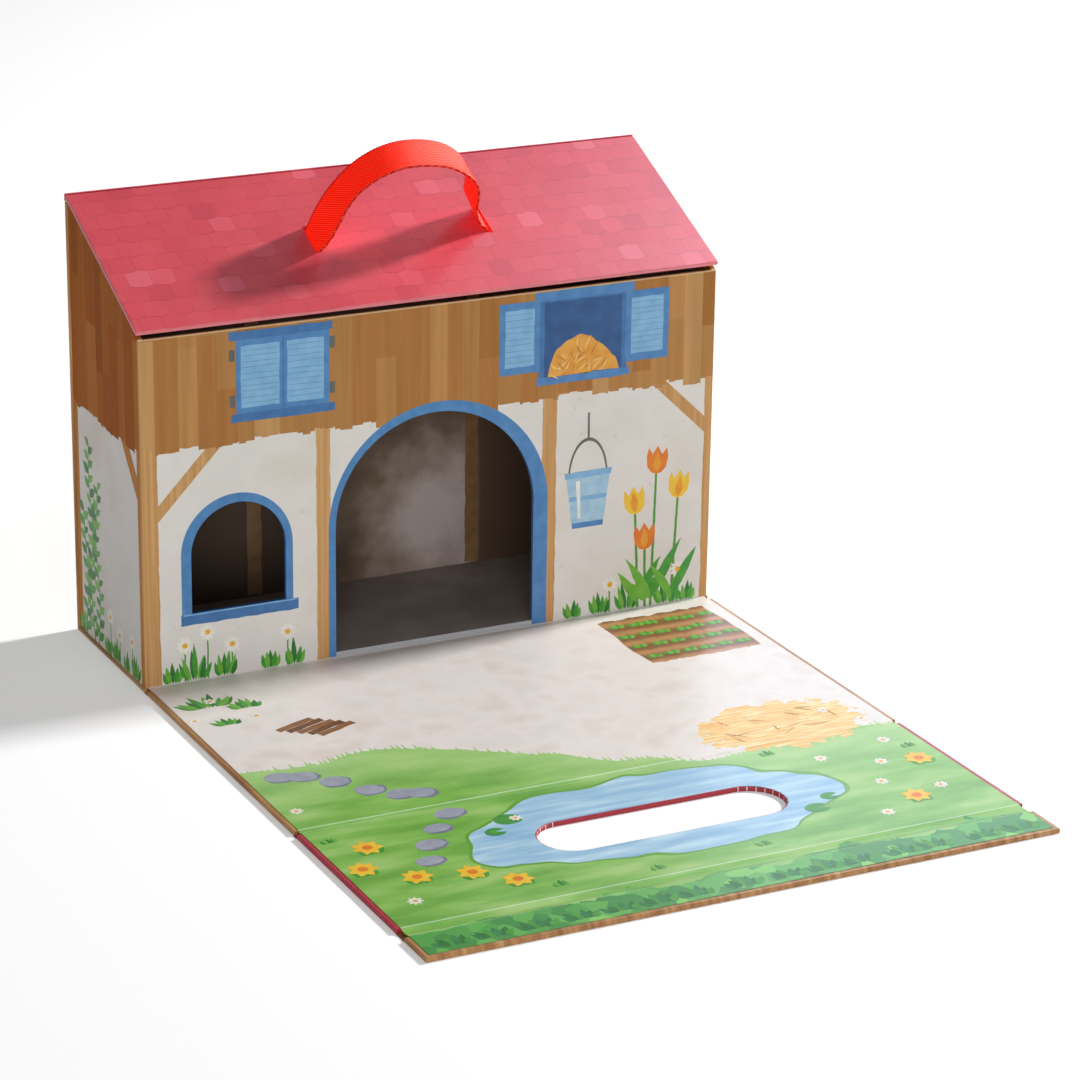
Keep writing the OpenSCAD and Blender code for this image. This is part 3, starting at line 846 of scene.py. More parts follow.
ROWS, COLUMNS = round(lengths[-1] / (LOOP / 4)), 16
strap = bmesh.new()
bmesh.ops.create_grid(strap, x_segments=COLUMNS, y_segments=ROWS, size=0.5)
uv = strap.loops.layers.uv.new("weave")
for face in strap.faces:
    for loop in face.loops:
        loop[uv].uv = ((loop.vert.co.x + 0.5) * STRAP["width"], (loop.vert.co.y + 0.5) * lengths[-1])
for v in strap.verts:
    across, distance = v.co.x, (v.co.y + 0.5) * lengths[-1]
    point, along = along_line(distance)
    scallop = SCALLOP * abs(math.sin(math.pi * distance / LOOP)) if abs(across) > 0.49 else 0.0
    edge = across * (STRAP["width"] - SCALLOP_ROOM) + math.copysign(scallop, across)
    sag = front_sag(distance)
    bow = CROWN_RISE * max(0.0, point.y / high) ** 4 * (0.5 + across)
    lean = sag * (0.5 - across) - bow
    narrow = 1 - 0.5 * (sag / STRAP["width"]) ** 2
    v.co = (point.x + along.y * lean, STRAP["u"] + edge * narrow, point.y - along.x * lean)
bmesh.ops.recalc_face_normals(strap, faces=strap.faces)
bmesh.ops.solidify(strap, geom=strap.faces[:], thickness=STRAP["thick"])
print("webbing is", round(lengths[-1] / MM), "mm long, in", ROWS, "rows")

# %% [markdown]
# ## Bright polyester
# The shader weaves a twill from two waves of the UV map: ribs that slant across the webbing, cut by the picks
# of the weft. The threads are bright polyester. They let light through, so red light bleeds from thread to
# thread, and a faint red emission, painted light, keeps the shaded side a strong red as well. They shine where
# the arch turns to the light.

# %% Webbing finish
def webbing_weave(name):
    """Red woven polyester. Its real twill of 0.9 mm is drawn at 1.5 mm, so that it shows."""
    material = bpy.data.materials.new(name)
    material.use_nodes = True
    tree = material.node_tree
    shader = tree.nodes["Principled BSDF"]
    place_uv = add(tree, "UVMap", uv_map="weave")
    ribs = []
    for direction, pitch_mm in (((0.8, 1.0, 0), 1.5), ((1.0, -0.25, 0), 1.3)):
        turned = add(tree, "VectorMath", {0: place_uv, 1: direction}, whole=True, operation="DOT_PRODUCT")
        waves = 2 * math.pi / (pitch_mm * MM)
        phase = add(tree, "Math", {0: turned.outputs["Value"], 1: waves}, operation="MULTIPLY")
        wave = add(tree, "Math", {0: phase}, operation="SINE")
        ribs.append(add(tree, "Math", {0: wave, 1: 0.5, 2: 0.5}, operation="MULTIPLY_ADD"))
    weave = add(tree, "Math", {0: ribs[0], 1: ribs[1]}, operation="MULTIPLY")
    # painted shade: the low places of the weave, between the threads, are a darker red
    tone = steps(tree, weave, [(0.0, "#D81206"), (0.35, "#FF2410"), (1.0, "#FF3420")], smooth=True)
    # the selvedge's loops lie in the shade of each other, so they are darker and glow less
    across = add(tree, "SeparateXYZ", {0: place_uv}, whole=True).outputs["X"]
    from_middle = add(tree, "Math", {0: across, 1: STRAP["width"] / 2}, operation="SUBTRACT")
    from_middle = add(tree, "Math", {0: from_middle}, operation="ABSOLUTE")
    selvedge = add(tree, "MapRange", {0: from_middle, 1: 9.2 * MM, 2: 9.7 * MM})
    tree.links.new(over(tree, tone, linear("#C2180C"), selvedge), shader.inputs["Base Color"])
    # red light that bleeds through the threads: a short scatter, and painted light, a faint red emission, for
    # what the scatter loses
    shader.inputs["Subsurface Weight"].default_value = 1.0
    shader.inputs["Subsurface Radius"].default_value = (1.0, 0.12, 0.06)
    shader.inputs["Subsurface Scale"].default_value = 0.7 * MM
    shader.inputs["Emission Color"].default_value = linear("#FF2008")
    glow = add(tree, "MapRange", {0: selvedge, 3: 0.50, 4: 0.15})
    tree.links.new(glow, shader.inputs["Emission Strength"])
    # above polyester's real 1.6, because the sheen of many round threads is stronger than that of a flat face
    shader.inputs["IOR"].default_value = 2.3
    glint = add(tree, "MapRange", {0: weave, 1: 0.20, 2: 0.80, 3: 0.05, 4: 1.0})
    tree.links.new(glint, shader.inputs["Specular IOR Level"])
    shader.inputs["Specular Tint"].default_value = linear("#FFE2BE")
    bump = add(tree, "Bump", {"Height": weave, "Strength": 0.8, "Distance": 0.30 * MM})
    tree.links.new(bump, shader.inputs["Normal"])
    tree.links.new(add(tree, "MapRange", {0: weave, 3: 0.62, 4: 0.30}), shader.inputs["Roughness"])
    return material


red_webbing = webbing_weave("polyester_webbing_woven")
bmesh.ops.transform(strap, matrix=roof_frame, verts=strap.verts)
handle = finish_piece(
    "webbing_handle", strap, [red_webbing], None,
    ("handle_leg_left", "handle_leg_right", "handle_grip"), smooth=True,
)
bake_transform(handle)

# %% [markdown]
# ## The play mat's paper
# One picture goes over all three panels of the open cover: a cream farmyard near the barn, a meadow with a
# tufted edge, a pond round the hand slot, a patch of straw, a garden bed and a darker hedge along the free
# edge. The picture is a generic one. It is drawn by the shader in the frame's own millimetres, so it runs
# on across the folds. Each area is a smooth shape whose edge is shaken by noise, as a brush would draw it.

# %% Mat paper
def ellipse_field(tree, axes, shake, cx, cy, rx, ry):
    """A value that is 1 on an ellipse's edge and less inside it."""
    parts = []
    for axis, centre, radius in (("X", cx, rx), ("Y", cy, ry)):
        moved = add(tree, "Math", {0: axes[axis], 1: centre * MM}, operation="SUBTRACT")
        part = add(tree, "Math", {0: moved, 1: radius * MM}, operation="DIVIDE")
        parts.append(add(tree, "Math", {0: part, 1: part}, operation="MULTIPLY"))
    total = add(tree, "Math", {0: parts[0], 1: parts[1]}, operation="ADD")
    return add(tree, "Math", {0: total, 1: shake}, operation="ADD")


def mat_print(name):
    """The play mat's print under a half glossy film, which lays a soft pale sheen over its far side."""
    material, tree, shader, coords = paper_skin(name, roughness=0.38)
    axes = add(tree, "SeparateXYZ", {0: coords}, whole=True).outputs
    flat = add(tree, "CombineXYZ", {0: axes["X"], 1: axes["Y"]})
    slow = add(tree, "TexNoise", {"Vector": flat, "Scale": 1 / (42 * MM), "Detail": 1.0})
    quick = add(tree, "TexNoise", {"Vector": flat, "Scale": 1 / (7 * MM), "Detail": 3.0})
    soft_shake = add(tree, "MapRange", {0: slow, 1: 0.3, 2: 0.7, 3: -0.22, 4: 0.22})
    rough_shake = add(tree, "MapRange", {0: quick, 1: 0.3, 2: 0.7, 3: -0.30, 4: 0.30})
    cloud = add(tree, "TexNoise", {"Vector": flat, "Scale": 1 / (26 * MM), "Detail": 5.0})
    # farmyard
    picture = steps(tree, cloud, [(0.35, "#EEE6DF"), (0.52, "#F4EDE8"), (0.70, "#EADED5")], smooth=True)
    # straw, with strokes that lie in two directions
    strokes = []
    for angle in (0.5, -0.4):
        turned = add(tree, "Mapping", {"Vector": flat, "Rotation": (0, 0, angle), "Scale": (60, 900, 1)})
        strokes.append(add(tree, "TexNoise", {"Vector": turned, "Scale": 1.0, "Detail": 1.0}))
    stroke = add(tree, "Math", {0: strokes[0], 1: strokes[1]}, operation="MAXIMUM")
    straw = steps(tree, stroke, [(0.45, "#F5BA58"), (0.58, "#FFD177"), (0.68, "#FFF4B6")], smooth=True)
    patch = ellipse_field(tree, axes, rough_shake, 112, -236, 46, 30)
    in_patch = add(tree, "Math", {0: patch, 1: 1.0}, operation="LESS_THAN")
    # meadow with grass blades along its edge
    sweep = add(
        tree, "MapRange", {0: axes["X"], 1: -100 * MM, 2: 60 * MM, 3: -182 * MM, 4: -258 * MM},
        interpolation_type="SMOOTHSTEP",
    )
    sway = add(tree, "Math", {0: soft_shake, 1: 22 * MM, 2: sweep}, operation="MULTIPLY_ADD")
    cell = add(
        tree, "TexVoronoi", {"W": axes["X"], "Scale": 1 / (2.7 * MM), "Randomness": 1.0},
        whole=True, voronoi_dimensions="1D",
    )
    peak = add(tree, "MapRange", {0: cell.outputs["Distance"], 1: 0.0, 2: 0.36, 3: 1.0, 4: 0.0})
    luck = add(tree, "SeparateColor", {0: cell.outputs["Color"]}, whole=True).outputs[0]
    blade = add(tree, "Math", {0: peak, 1: luck}, operation="MULTIPLY")
    edge = add(tree, "Math", {0: blade, 1: 7.5 * MM, 2: sway}, operation="MULTIPLY_ADD")
    in_meadow = add(tree, "Math", {0: axes["Y"], 1: edge}, operation="LESS_THAN")
    brushed = add(tree, "Mapping", {"Vector": flat, "Rotation": (0, 0, 0.25), "Scale": (18, 60, 1)})
    brush = add(tree, "TexNoise", {"Vector": brushed, "Scale": 1.0, "Detail": 5.0})
    meadow = steps(tree, brush, [(0.34, "#6EAF43"), (0.5, "#89C558"), (0.66, "#ACD57C")], smooth=True)
    bright = add(tree, "Math", {0: axes["Y"], 1: edge}, operation="SUBTRACT")
    bright = add(tree, "MapRange", {0: bright, 1: -55 * MM, 2: -2 * MM, 3: 0.0, 4: 0.55})
    meadow = over(tree, meadow, linear("#BFE49A"), bright)
    picture = over(tree, picture, meadow, in_meadow)
    picture = over(tree, picture, straw, in_patch)
    # pond in rippled blues, with a thin bank
    pond = ellipse_field(tree, axes, soft_shake, -4, -311, 96, 46)
    bank = within(tree, pond, 0.0, 1.07)
    in_pond = within(tree, pond, -1.0, 1.0)
    ripple_place = add(tree, "Mapping", {"Vector": flat, "Scale": (22, 130, 1)})
    ripple = add(tree, "TexNoise", {"Vector": ripple_place, "Scale": 1.0, "Detail": 3.0})
    water = steps(tree, ripple, [(0.36, "#92C4E6"), (0.52, "#ADD6EF"), (0.66, "#CBEBFB")], smooth=True)
    picture = over(tree, picture, linear("#68AC38"), bank)
    picture = over(tree, picture, water, in_pond)
    # garden bed beside the barn
    bed_x = add(tree, "Math", {0: soft_shake, 1: 6 * MM, 2: axes["X"]}, operation="MULTIPLY_ADD")
    in_width = within(tree, bed_x, 92 * MM, 160 * MM)
    bed_y = add(tree, "Math", {0: rough_shake, 1: 4 * MM, 2: axes["Y"]}, operation="MULTIPLY_ADD")
    bed = all_of(tree, in_width, within(tree, bed_y, -132 * MM, -66 * MM))
    furrow = add(tree, "Math", {0: axes["Y"], 1: 2 * math.pi / (15 * MM)}, operation="MULTIPLY")
    furrow = add(tree, "Math", {0: furrow}, operation="SINE")
    furrow = add(tree, "Math", {0: rough_shake, 1: 1.5, 2: furrow}, operation="MULTIPLY_ADD")
    soil = steps(tree, add(tree, "MapRange", {0: furrow, 1: -1.2, 2: 1.2}), [
        (0.2, "#885B35"), (0.55, "#A26F44"), (0.85, "#C18C5B"),
    ], smooth=True)
    picture = over(tree, picture, soil, bed)
    # hedge along the free edge
    hedge_line = add(tree, "Math", {0: soft_shake, 1: 34 * MM, 2: -384 * MM}, operation="MULTIPLY_ADD")
    hedge_line = add(tree, "Math", {0: rough_shake, 1: 8 * MM, 2: hedge_line}, operation="MULTIPLY_ADD")
    in_hedge = add(tree, "Math", {0: axes["Y"], 1: hedge_line}, operation="LESS_THAN")
    leaves = add(
        tree, "TexVoronoi", {"Vector": flat, "Scale": 1 / (9 * MM), "Randomness": 1.0},
        whole=True, voronoi_dimensions="2D",
    )
    luck = add(tree, "SeparateColor", {0: leaves.outputs["Color"]}, whole=True).outputs[1]
    hedge = steps(tree, luck, [(0.0, "#459944"), (0.3, "#56AC4C"), (0.6, "#68BB54"), (0.85, "#85D063")])
    picture = over(tree, picture, hedge, in_hedge)
    # painted highlight along the creases, where their edges catch the light, together with the film's pale wear
    # there
    half_mm, creases_mm = 0.28, (-255.0, -258.9, -375.2, -384.3)
    creases = any_of(tree, *[
        within(tree, axes["Y"], (y - half_mm) * MM, (y + half_mm) * MM) for y in creases_mm
    ])
    worn = add(tree, "Math", {0: creases, 1: 0.5}, operation="MULTIPLY")
    picture = over(tree, picture, linear("#FFFFFA"), worn)
    tree.links.new(picture, shader.inputs["Base Color"])
    return material


mat_paper = mat_print("mat_print_laminated")
print("mat print ready")

# %% [markdown]
# ## The cover's panels
# Each panel is a wrapped board with the print laid on it, a little smaller than the board, so that a narrow
# margin of the wrap shows. The middle panel has the slot that the handle comes through: a long hole with
# round ends, whose red wrap is turned in with small cuts that show white at the curves.

# %% Panels and prints
# red laminated paper, half glossy, brushed darker and lighter every centimetre
red_wrap = mottled("red_wrap_laminated", "#B4303F", "#C0394A", patch_mm=10)
SLOT = {"y": 0.0, "half": 67 * MM, "radius": 17.5 * MM}
slot_nodes = [v.co for v in frame["nodes"]["tile_panel"].data.vertices if abs(v.co.x) < 68 * MM]
SLOT["y"] = (min(c.y for c in slot_nodes) + max(c.y for c in slot_nodes)) / 2
print("hand slot at", round(SLOT["y"] / MM, 1))


def slot_ring(grow=0.0):
    """The hand slot's outline, round at both ends."""
    end_x, r = SLOT["half"] - SLOT["radius"], SLOT["radius"] + grow
    return arc(end_x, SLOT["y"], r, 90, -90, 24) + arc(-end_x, SLOT["y"], r, -90, -270, 24)


def snipped_red():
    """The red wrap in the hand slot, with the pale cuts that let it turn round the curve."""
    material, tree, shader, coords = paper_skin("red_wrap_snipped")
    axes = add(tree, "SeparateXYZ", {0: coords}, whole=True).outputs
    far = add(tree, "Math", {0: axes["X"]}, operation="ABSOLUTE")
    far = add(tree, "Math", {0: far, 1: SLOT["half"] - SLOT["radius"]}, operation="SUBTRACT")
    side = add(tree, "Math", {0: axes["Y"], 1: SLOT["y"]}, operation="SUBTRACT")
    turn = add(tree, "Math", {0: side, 1: far}, operation="ARCTAN2")
    cuts = add(tree, "Math", {0: turn, 1: math.radians(15)}, operation="DIVIDE")
    cuts = add(tree, "Math", {0: cuts}, operation="FRACT")
    curve_only = add(tree, "Math", {0: far, 1: 2 * MM}, operation="GREATER_THAN")
    mask = all_of(tree, within(tree, cuts, 0.44, 0.56), curve_only)
    tree.links.new(over(tree, linear("#B4303F"), linear("#F0E6E0"), mask), shader.inputs["Base Color"])
    return material


slot_wrap = snipped_red()
cover = [
    ("yard", "yard_flap", brown_wrap, "brown_wrap"),
    ("tile", "tile_flap", red_wrap, "red_wrap"),
    ("lip", "lip_flap", brown_wrap, "brown_wrap"),
]
prints = {"yard": "yard_print", "tile": "meadow_print", "lip": "lip_print"}
for name, body, wrap, slot_name in cover:
    lo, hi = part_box(name + "_panel")
    ring = [slot_ring()] if name == "tile" else []
    panel = plate(rectangle(lo.x, hi.x, lo.y, hi.y), ring, hi.z - lo.z, 0.5 * MM)
    bmesh.ops.translate(panel, vec=(0, 0, lo.z), verts=panel.verts)
    for face in panel.faces:
        middle = face.calc_center_median()
        in_slot = abs(middle.x) < SLOT["half"] and abs(middle.y - SLOT["y"]) < SLOT["radius"] + 0.5 * MM
        face.material_index = 1 if name == "tile" and in_slot and abs(face.normal.z) < 0.99 else 0
    finish_piece(name + "_board_wrapped", panel, [wrap, slot_wrap], body, (name + "_panel",))
    lo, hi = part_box(prints[name])
    ring = [slot_ring(0.9 * MM)] if name == "tile" else []
    sheet = plate(rectangle(lo.x, hi.x, lo.y, hi.y), ring, hi.z - lo.z, 0.08 * MM, segments=2)
    bmesh.ops.translate(sheet, vec=(0, 0, lo.z), verts=sheet.verts)
    finish_piece(name + "_print_sheet", sheet, [mat_paper], body, (prints[name],))

# %% [markdown]
# ## Shapes drawn on the paper
# The larger motifs of the print are laid on as very thin flat shapes, each a closed solid, so that they keep
# clean drawn edges. All shapes of one colour on one board share a mesh. A shape is drawn in millimetres on
# its board's face. It stands 0.025 mm up for every layer, and a few thousandths more by its turn, so that no
# two shapes lie in the same plane. Its outline wavers by a fraction of a millimetre, as a brush does.

# %% Drawing helpers
FACES = {
    "front": ("barn", stand((1, 0, 0), (0, 0, 1), (0, wall_lo.y, 0))),
    "left": ("barn", stand((0, -1, 0), (0, 0, 1), (-side_face, 0, 0))),
    "right": ("barn", stand((0, 1, 0), (0, 0, 1), (side_face, 0, 0))),
    "rear_inside": ("barn", stand((1, 0, 0), (0, 0, 1), (0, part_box("rear_wall_lining")[0].y, 0))),
    "yard": ("yard_flap", stand((1, 0, 0), (0, 1, 0), (0, 0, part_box("yard_print")[1].z))),
    "meadow": ("tile_flap", stand((1, 0, 0), (0, 1, 0), (0, 0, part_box("meadow_print")[1].z))),
    "lip": ("lip_flap", stand((1, 0, 0), (0, 1, 0), (0, 0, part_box("lip_print")[1].z))),
}
LAYER_MM, TURN_MM, TURNS = 0.025, 0.001, 23
drawn = {}
shapes_so_far = iter(range(100000))
chance = random.Random(7)
# Blender takes this noise's seed from the clock, so it is set, and every run draws the same outlines
noise.seed_set(7)


def by_hand(outline, waver=0.22, step=2.2):
    """An outline in mm with more points, each a little off its line."""
    points = [Vector(p) for p in outline]
    path = []
    seed = chance.uniform(0, 100)
    for a, b in zip(points, points[1:] + points[:1]):
        count = max(1, round((b - a).length / step))
        for i in range(count):
            p = a.lerp(b, i / count)
            off = noise.noise_vector(Vector((p.x / 6, p.y / 6, seed)))
            path.append((p.x + off.x * waver * 2, p.y + off.y * waver * 2))
    return path


def draw(face, colour, outline, layer=1, waver=0.22):
    """Adds one thin shape to the mesh of its face and colour."""
    if (face, colour) not in drawn:
        drawn[face, colour] = bmesh.new()
    bm = drawn[face, colour]
    path = by_hand(outline, waver) if waver else outline
    rise_mm = layer * LAYER_MM + next(shapes_so_far) % TURNS * TURN_MM
    flat = bm.faces.new([bm.verts.new((x * MM, y * MM, 0)) for x, y in path])
    lifted = bmesh.ops.extrude_face_region(bm, geom=[flat])["geom"]
    top = [v for v in lifted if isinstance(v, bmesh.types.BMVert)]
    bmesh.ops.translate(bm, vec=(0, 0, rise_mm * MM), verts=top)
    bmesh.ops.transform(bm, matrix=FACES[face][1], verts=list(flat.verts) + top)


def turned(points, angle, at=(0, 0), size=1.0):
    """Points scaled, turned by an angle in degrees and moved."""
    c, s = math.cos(math.radians(angle)), math.sin(math.radians(angle))
    return [(at[0] + size * (x * c - y * s), at[1] + size * (x * s + y * c)) for x, y in points]


def leaf(length, width, bend=0.0):
    """A leaf along +Y from its stalk at the origin."""
    side = [(width / 2 * math.sin(math.pi * t ** 0.8), length * t) for t in [i / 7 for i in range(8)]]
    outline = side + [(-x, y) for x, y in side[-2:0:-1]]
    return [(x + bend * (y / length) ** 2, y) for x, y in outline]


def blob(rx, ry, count=18):
    """An uneven round spot."""
    return [
        (rx * math.cos(a) * chance.uniform(0.93, 1.06), ry * math.sin(a) * chance.uniform(0.93, 1.06))
        for a in [2 * math.pi * i / count for i in range(count)]
    ]


def daisy(face, x, y, radius=4.0, petals=9):
    """White petals round a yellow eye."""
    start = chance.uniform(0, 40)
    for i in range(petals):
        turn = start + 360 * i / petals + chance.uniform(-5, 5)
        draw(face, "petal_white", turned(leaf(radius, radius * 0.52), turn, (x, y)), 4, 0.05)
    draw(face, "yolk_yellow", turned(blob(radius * 0.3, radius * 0.3, 10), 0, (x, y)), 5, 0)


def tuft(face, x, y, blades, height, colours, spread=38, width=2.6, layer=2):
    """Blades of grass or leaves that fan out from one spot."""
    for i in range(blades):
        share = (i + 0.5) / blades * 2 - 1
        angle = -share * spread + chance.uniform(-6, 6)
        tall = height * (1 - 0.4 * abs(share)) * chance.uniform(0.8, 1.1)
        at = (x + share * width * blades * 0.22, y)
        blade = turned(leaf(tall, width, -share * 2.0), angle, at)
        draw(face, colours[i % len(colours)], blade, layer + i % 2, 0.08)


def slats(face, x0, x1, y0, y1, count, colour, layer):
    """Thin uneven lines of a louvred shutter."""
    for i in range(count):
        y = y0 + (y1 - y0) * (i + 0.5) / count + chance.uniform(-0.3, 0.3)
        a, b = x0 + chance.uniform(0.2, 1.2), x1 - chance.uniform(0.2, 1.6)
        slope = chance.uniform(-0.5, 0.5)
        slat = [(a, y - 0.16), (b, y - 0.14 + slope), (b, y + 0.18 + slope), (a, y + 0.16)]
        draw(face, colour, slat, layer, 0.06)


# %% [markdown]
# ## Blue frames and shutters on the front
# The doorway and the window have painted blue surrounds that are wider on the right. High up there is a
# closed pair of shutters on the left, and on the right an open pair beside a dark loft opening with hay.

# %% Surrounds and shutters
def surround(opening, centre, radius, crown, foot):
    """A painted band round an opening's head and sides."""
    x, r, top = opening["x"] / MM, opening["radius"] / MM, opening["top"] / MM
    outer = arc(centre, crown - radius, radius, 180, 0, 44)
    inner = arc(x, top - r, r, 0, 180, 44)
    feet = [(centre + radius, foot), (x + r, foot)]
    return [(centre - radius, foot)] + outer + feet + inner + [(x - r, foot)]


draw("front", "surround_blue", surround(DOOR, 1.85, 65.5, 140.1, floor_z / MM + 0.3), 2, 0)
draw("front", "surround_blue", surround(WINDOW, -116.35, 31.85, 104.6, 40.5), 2, 0)
draw("front", "deep_blue", rectangle(-148.6, -81.5, 34.2, 40.5), 3)
draw("front", "slat_blue", rectangle(-147.5, -82.5, 39.6, 40.3), 4, 0.1)

draw("front", "surround_blue", rectangle(-115.6, -62.8, 146, 189), 2)
draw("front", "deep_blue", rectangle(-119.6, -60.7, 188.0, 192.7), 4)
draw("front", "deep_blue", rectangle(-118.8, -59.4, 143.2, 147.8), 4)
for x0, x1 in ((-112.9, -91.2), (-86.8, -66.0)):
    draw("front", "slat_blue", rectangle(x0, x1, 150.8, 184.6), 3)
    slats("front", x0, x1, 152, 184, 10, "slat_line", 4)
draw("front", "deep_blue", rectangle(-89.5, -88.6, 148.5, 187.5), 3, 0.1)
for x, y in ((-117.9, 155), (-117.9, 180), (-61.0, 156), (-61.0, 181)):
    draw("front", "hinge_grey", rectangle(x - 1.5, x + 1.5, y - 3.2, y + 3.2), 3, 0.12)

draw("front", "deep_blue", rectangle(60.5, 114.6, 141.6, 190), 2)
draw("front", "loft_blue", rectangle(64.0, 111.2, 145.6, 187.4), 3)
draw("front", "surround_blue", rectangle(58.2, 118.6, 188.4, 193.6), 5)
draw("front", "surround_blue", rectangle(59.6, 116.5, 141.0, 145.2), 4)
for x0, x1, y0, y1 in ((36.9, 61.2, 149.2, 189.4), (113.6, 140.3, 148.4, 188.4)):
    draw("front", "surround_blue", rectangle(x0, x1, y0, y1), 4)
    draw("front", "slat_blue", rectangle(x0 + 3.4, x1 - 3.4, y0 + 4.2, y1 - 4.0), 5)
    slats("front", x0 + 3.4, x1 - 3.4, y0 + 5, y1 - 5, 9, "slat_line", 6)

hay = [
    (66, 145.4), (67.5, 153), (72, 160.5), (78, 165), (86, 167.5), (94, 164.6), (101, 158.5), (107.5, 152),
    (109.5, 145.4),
]
draw("front", "hay_amber", hay, 4, 0.6)


def stalk(face, x, y, lengths_mm, width, bend, angles, layer):
    """One stalk of hay or straw, pale or dark by chance."""
    colour = chance.choice(("hay_pale", "hay_dark"))
    shape = leaf(chance.uniform(*lengths_mm), width, bend)
    draw(face, colour, turned(shape, chance.uniform(*angles), (x, y)), layer, 0.04)


for i in range(46):
    x, y = chance.uniform(68, 106), chance.uniform(146.5, 165)
    if y < 166 - abs(x - 86) * 0.85:
        stalk("front", x, y - 3, (5, 9), 0.8, 0.6, (-75, 75), 5 + i % 3)

# %% [markdown]
# ## Plants and a bucket round the walls
# Daisies and grass grow at the foot of the walls, tulips stand by the right corner, and a pale blue bucket
# hangs on a hook. Ivy climbs the left side. They are common motifs in the colours of such a toy.

# %% Plants on the walls
GREENS = ("leaf_green", "grass_green", "deep_green")
foot = floor_z / MM


def border(face, width, radius, tufts, daisies):
    """Tufts and daisies along the foot of a wall: (place, blades, height) and (place, height)."""
    for x, count, tall in tufts:
        tuft(face, x, foot, count, tall, GREENS, width=width)
    for x, y in daisies:
        draw(face, "stem_green", [(x - 0.5, foot), (x + 0.5, foot), (x + 0.4, y), (x - 0.4, y)], 2, 0.1)
        daisy(face, x, y, radius, 9)


border(
    "front", 3.0, 5.2,
    ((-154, 5, 13), (-141, 7, 20), (-124, 6, 15), (-98, 5, 12), (-84, 5, 15),
     (84, 5, 11), (101, 6, 14), (118, 6, 18), (143, 7, 17), (156, 5, 12)),
    ((-147, 23), (-134, 29), (-120, 20), (-88, 22), (107, 19), (150, 22)),
)

for x, y, lean, colour in (
    (122, 62, -3, "tulip_yellow"), (135, 84, 2, "tulip_orange"),
    (149, 68, 3, "tulip_yellow"), (128.5, 40, -1, "tulip_orange"),
):
    stem = [(x - lean - 0.8, foot), (x - lean + 0.8, foot), (x + 0.7, y), (x - 0.7, y)]
    draw("front", "stem_green", stem, 3, 0.15)
    draw("front", "leaf_green", turned(leaf(y * 0.46, 6.0, 3), -24, (x - lean * 0.9, foot + 4)), 4)
    draw("front", "grass_green", turned(leaf(y * 0.38, 5.4, -3), 26, (x - lean * 0.9, foot + 3)), 5)
    cup = [
        (-6.2, 0.8), (-3.4, -2.6), (0, -3.6), (3.4, -2.6), (6.2, 0.8), (7.0, 7.0),
        (6.0, 12.5), (3.2, 8.2), (0, 13.6), (-3.2, 8.2), (-6.0, 12.5), (-7.0, 7.0),
    ]
    draw("front", colour, turned(cup, -lean * 2, (x, y), 0.95), 6)
    draw("front", "tulip_shade", turned(leaf(12.2, 4.6), -lean * 2, (x, y - 2.4)), 7, 0.1)

hook = (92, 108)
draw("front", "hinge_grey", rectangle(hook[0] - 0.6, hook[0] + 0.6, hook[1] - 2, hook[1] + 14), 3, 0.1)
ring_out = arc(hook[0], 84.5, 12.2, 8, 172, 26)
ring_in = arc(hook[0], 84.5, 11.2, 172, 8, 26)
draw("front", "hinge_grey", [(x, 84 + (y - 84) * 1.85) for x, y in ring_out + ring_in], 4, 0.05)
draw("front", "bucket_blue", [(78.6, 86), (105.6, 86), (101.8, 56), (82.6, 56)], 5)
draw("front", "slat_blue", [(77.6, 88.4), (106.6, 88.4), (106.2, 84.8), (78.0, 84.8)], 6)
draw("front", "slat_blue", [(80.6, 74), (103.8, 74), (103.5, 71.4), (80.9, 71.4)], 6, 0.1)
draw("front", "surround_blue", [(82.4, 58.6), (102.0, 58.6), (101.8, 55.4), (82.7, 55.4)], 6, 0.1)
draw("front", "petal_white", [(84.6, 83), (87.2, 83), (87.8, 61), (86.2, 61)], 7, 0.15)

for stem_y, top_y in ((18, 96), (27, 118), (36, 78)):
    path = [(-stem_y + 2.2 * math.sin(z / 11 + stem_y), z) for z in range(round(foot), top_y, 4)]
    draw("left", "stem_green", [(x - 0.6, z) for x, z in path] + [(x + 0.6, z) for x, z in path[::-1]], 2, 0)
    for i, (x, z) in enumerate(path[1:]):
        side = 1 if i % 2 else -1
        long = chance.uniform(6.5, 9.5)
        draw("left", GREENS[i % 3], turned(leaf(long, long * 0.55), side * 58, (x, z)), 3 + i % 3, 0.1)
border(
    "left", 2.8, 4.6, ((38, 6, 15), (24, 5, 11), (8, 6, 14), (-4, 5, 12), (-44, 5, 13)),
    ((33, 22), (14, 19), (0, 25)),
)
border(
    "right", 2.8, 4.8, ((-40, 6, 16), (-20, 5, 12), (6, 7, 18), (30, 6, 13)), ((-30, 24), (12, 21), (22, 28)),
)

for x0, x1 in ((-71, -62.3), (63.9, 72)):
    draw("rear_inside", "stable_post", rectangle(x0, x1, 6, 200), 1, 0.3)

# %% [markdown]
# ## The farmyard and meadow
# On the mat lie flat stones in a curved path, tufts of leaves, lily pads on the pond, daisies and buttercups
# in the grass, and rows of seedlings in the bed. None of them crosses a fold or the hand slot.

# %% Motifs on the mat
for i in range(6):
    x, y = -152 + 11.5 * i + chance.uniform(-2, 2), -192 - 9.5 * i + 6 * math.sin(i * 1.3)
    draw("yard", "stone_dark", turned(blob(8.0, 6.3), chance.uniform(-20, 20), (x + 1, y - 1.2)), 2)
    draw("yard", "stone_grey", turned(blob(7.6, 5.8), chance.uniform(-20, 20), (x, y)), 3)
for x, y, rx in ((-93, -267, 8.6), (-106, -281, 7.6), (-117, -297, 8.6), (-125, -314, 7.6)):
    draw("meadow", "stone_dark", turned(blob(rx, rx * 0.7), 10, (x + 1, y - 1.2)), 2)
    draw("meadow", "stone_grey", turned(blob(rx - 0.4, rx * 0.64), 5, (x, y)), 3)

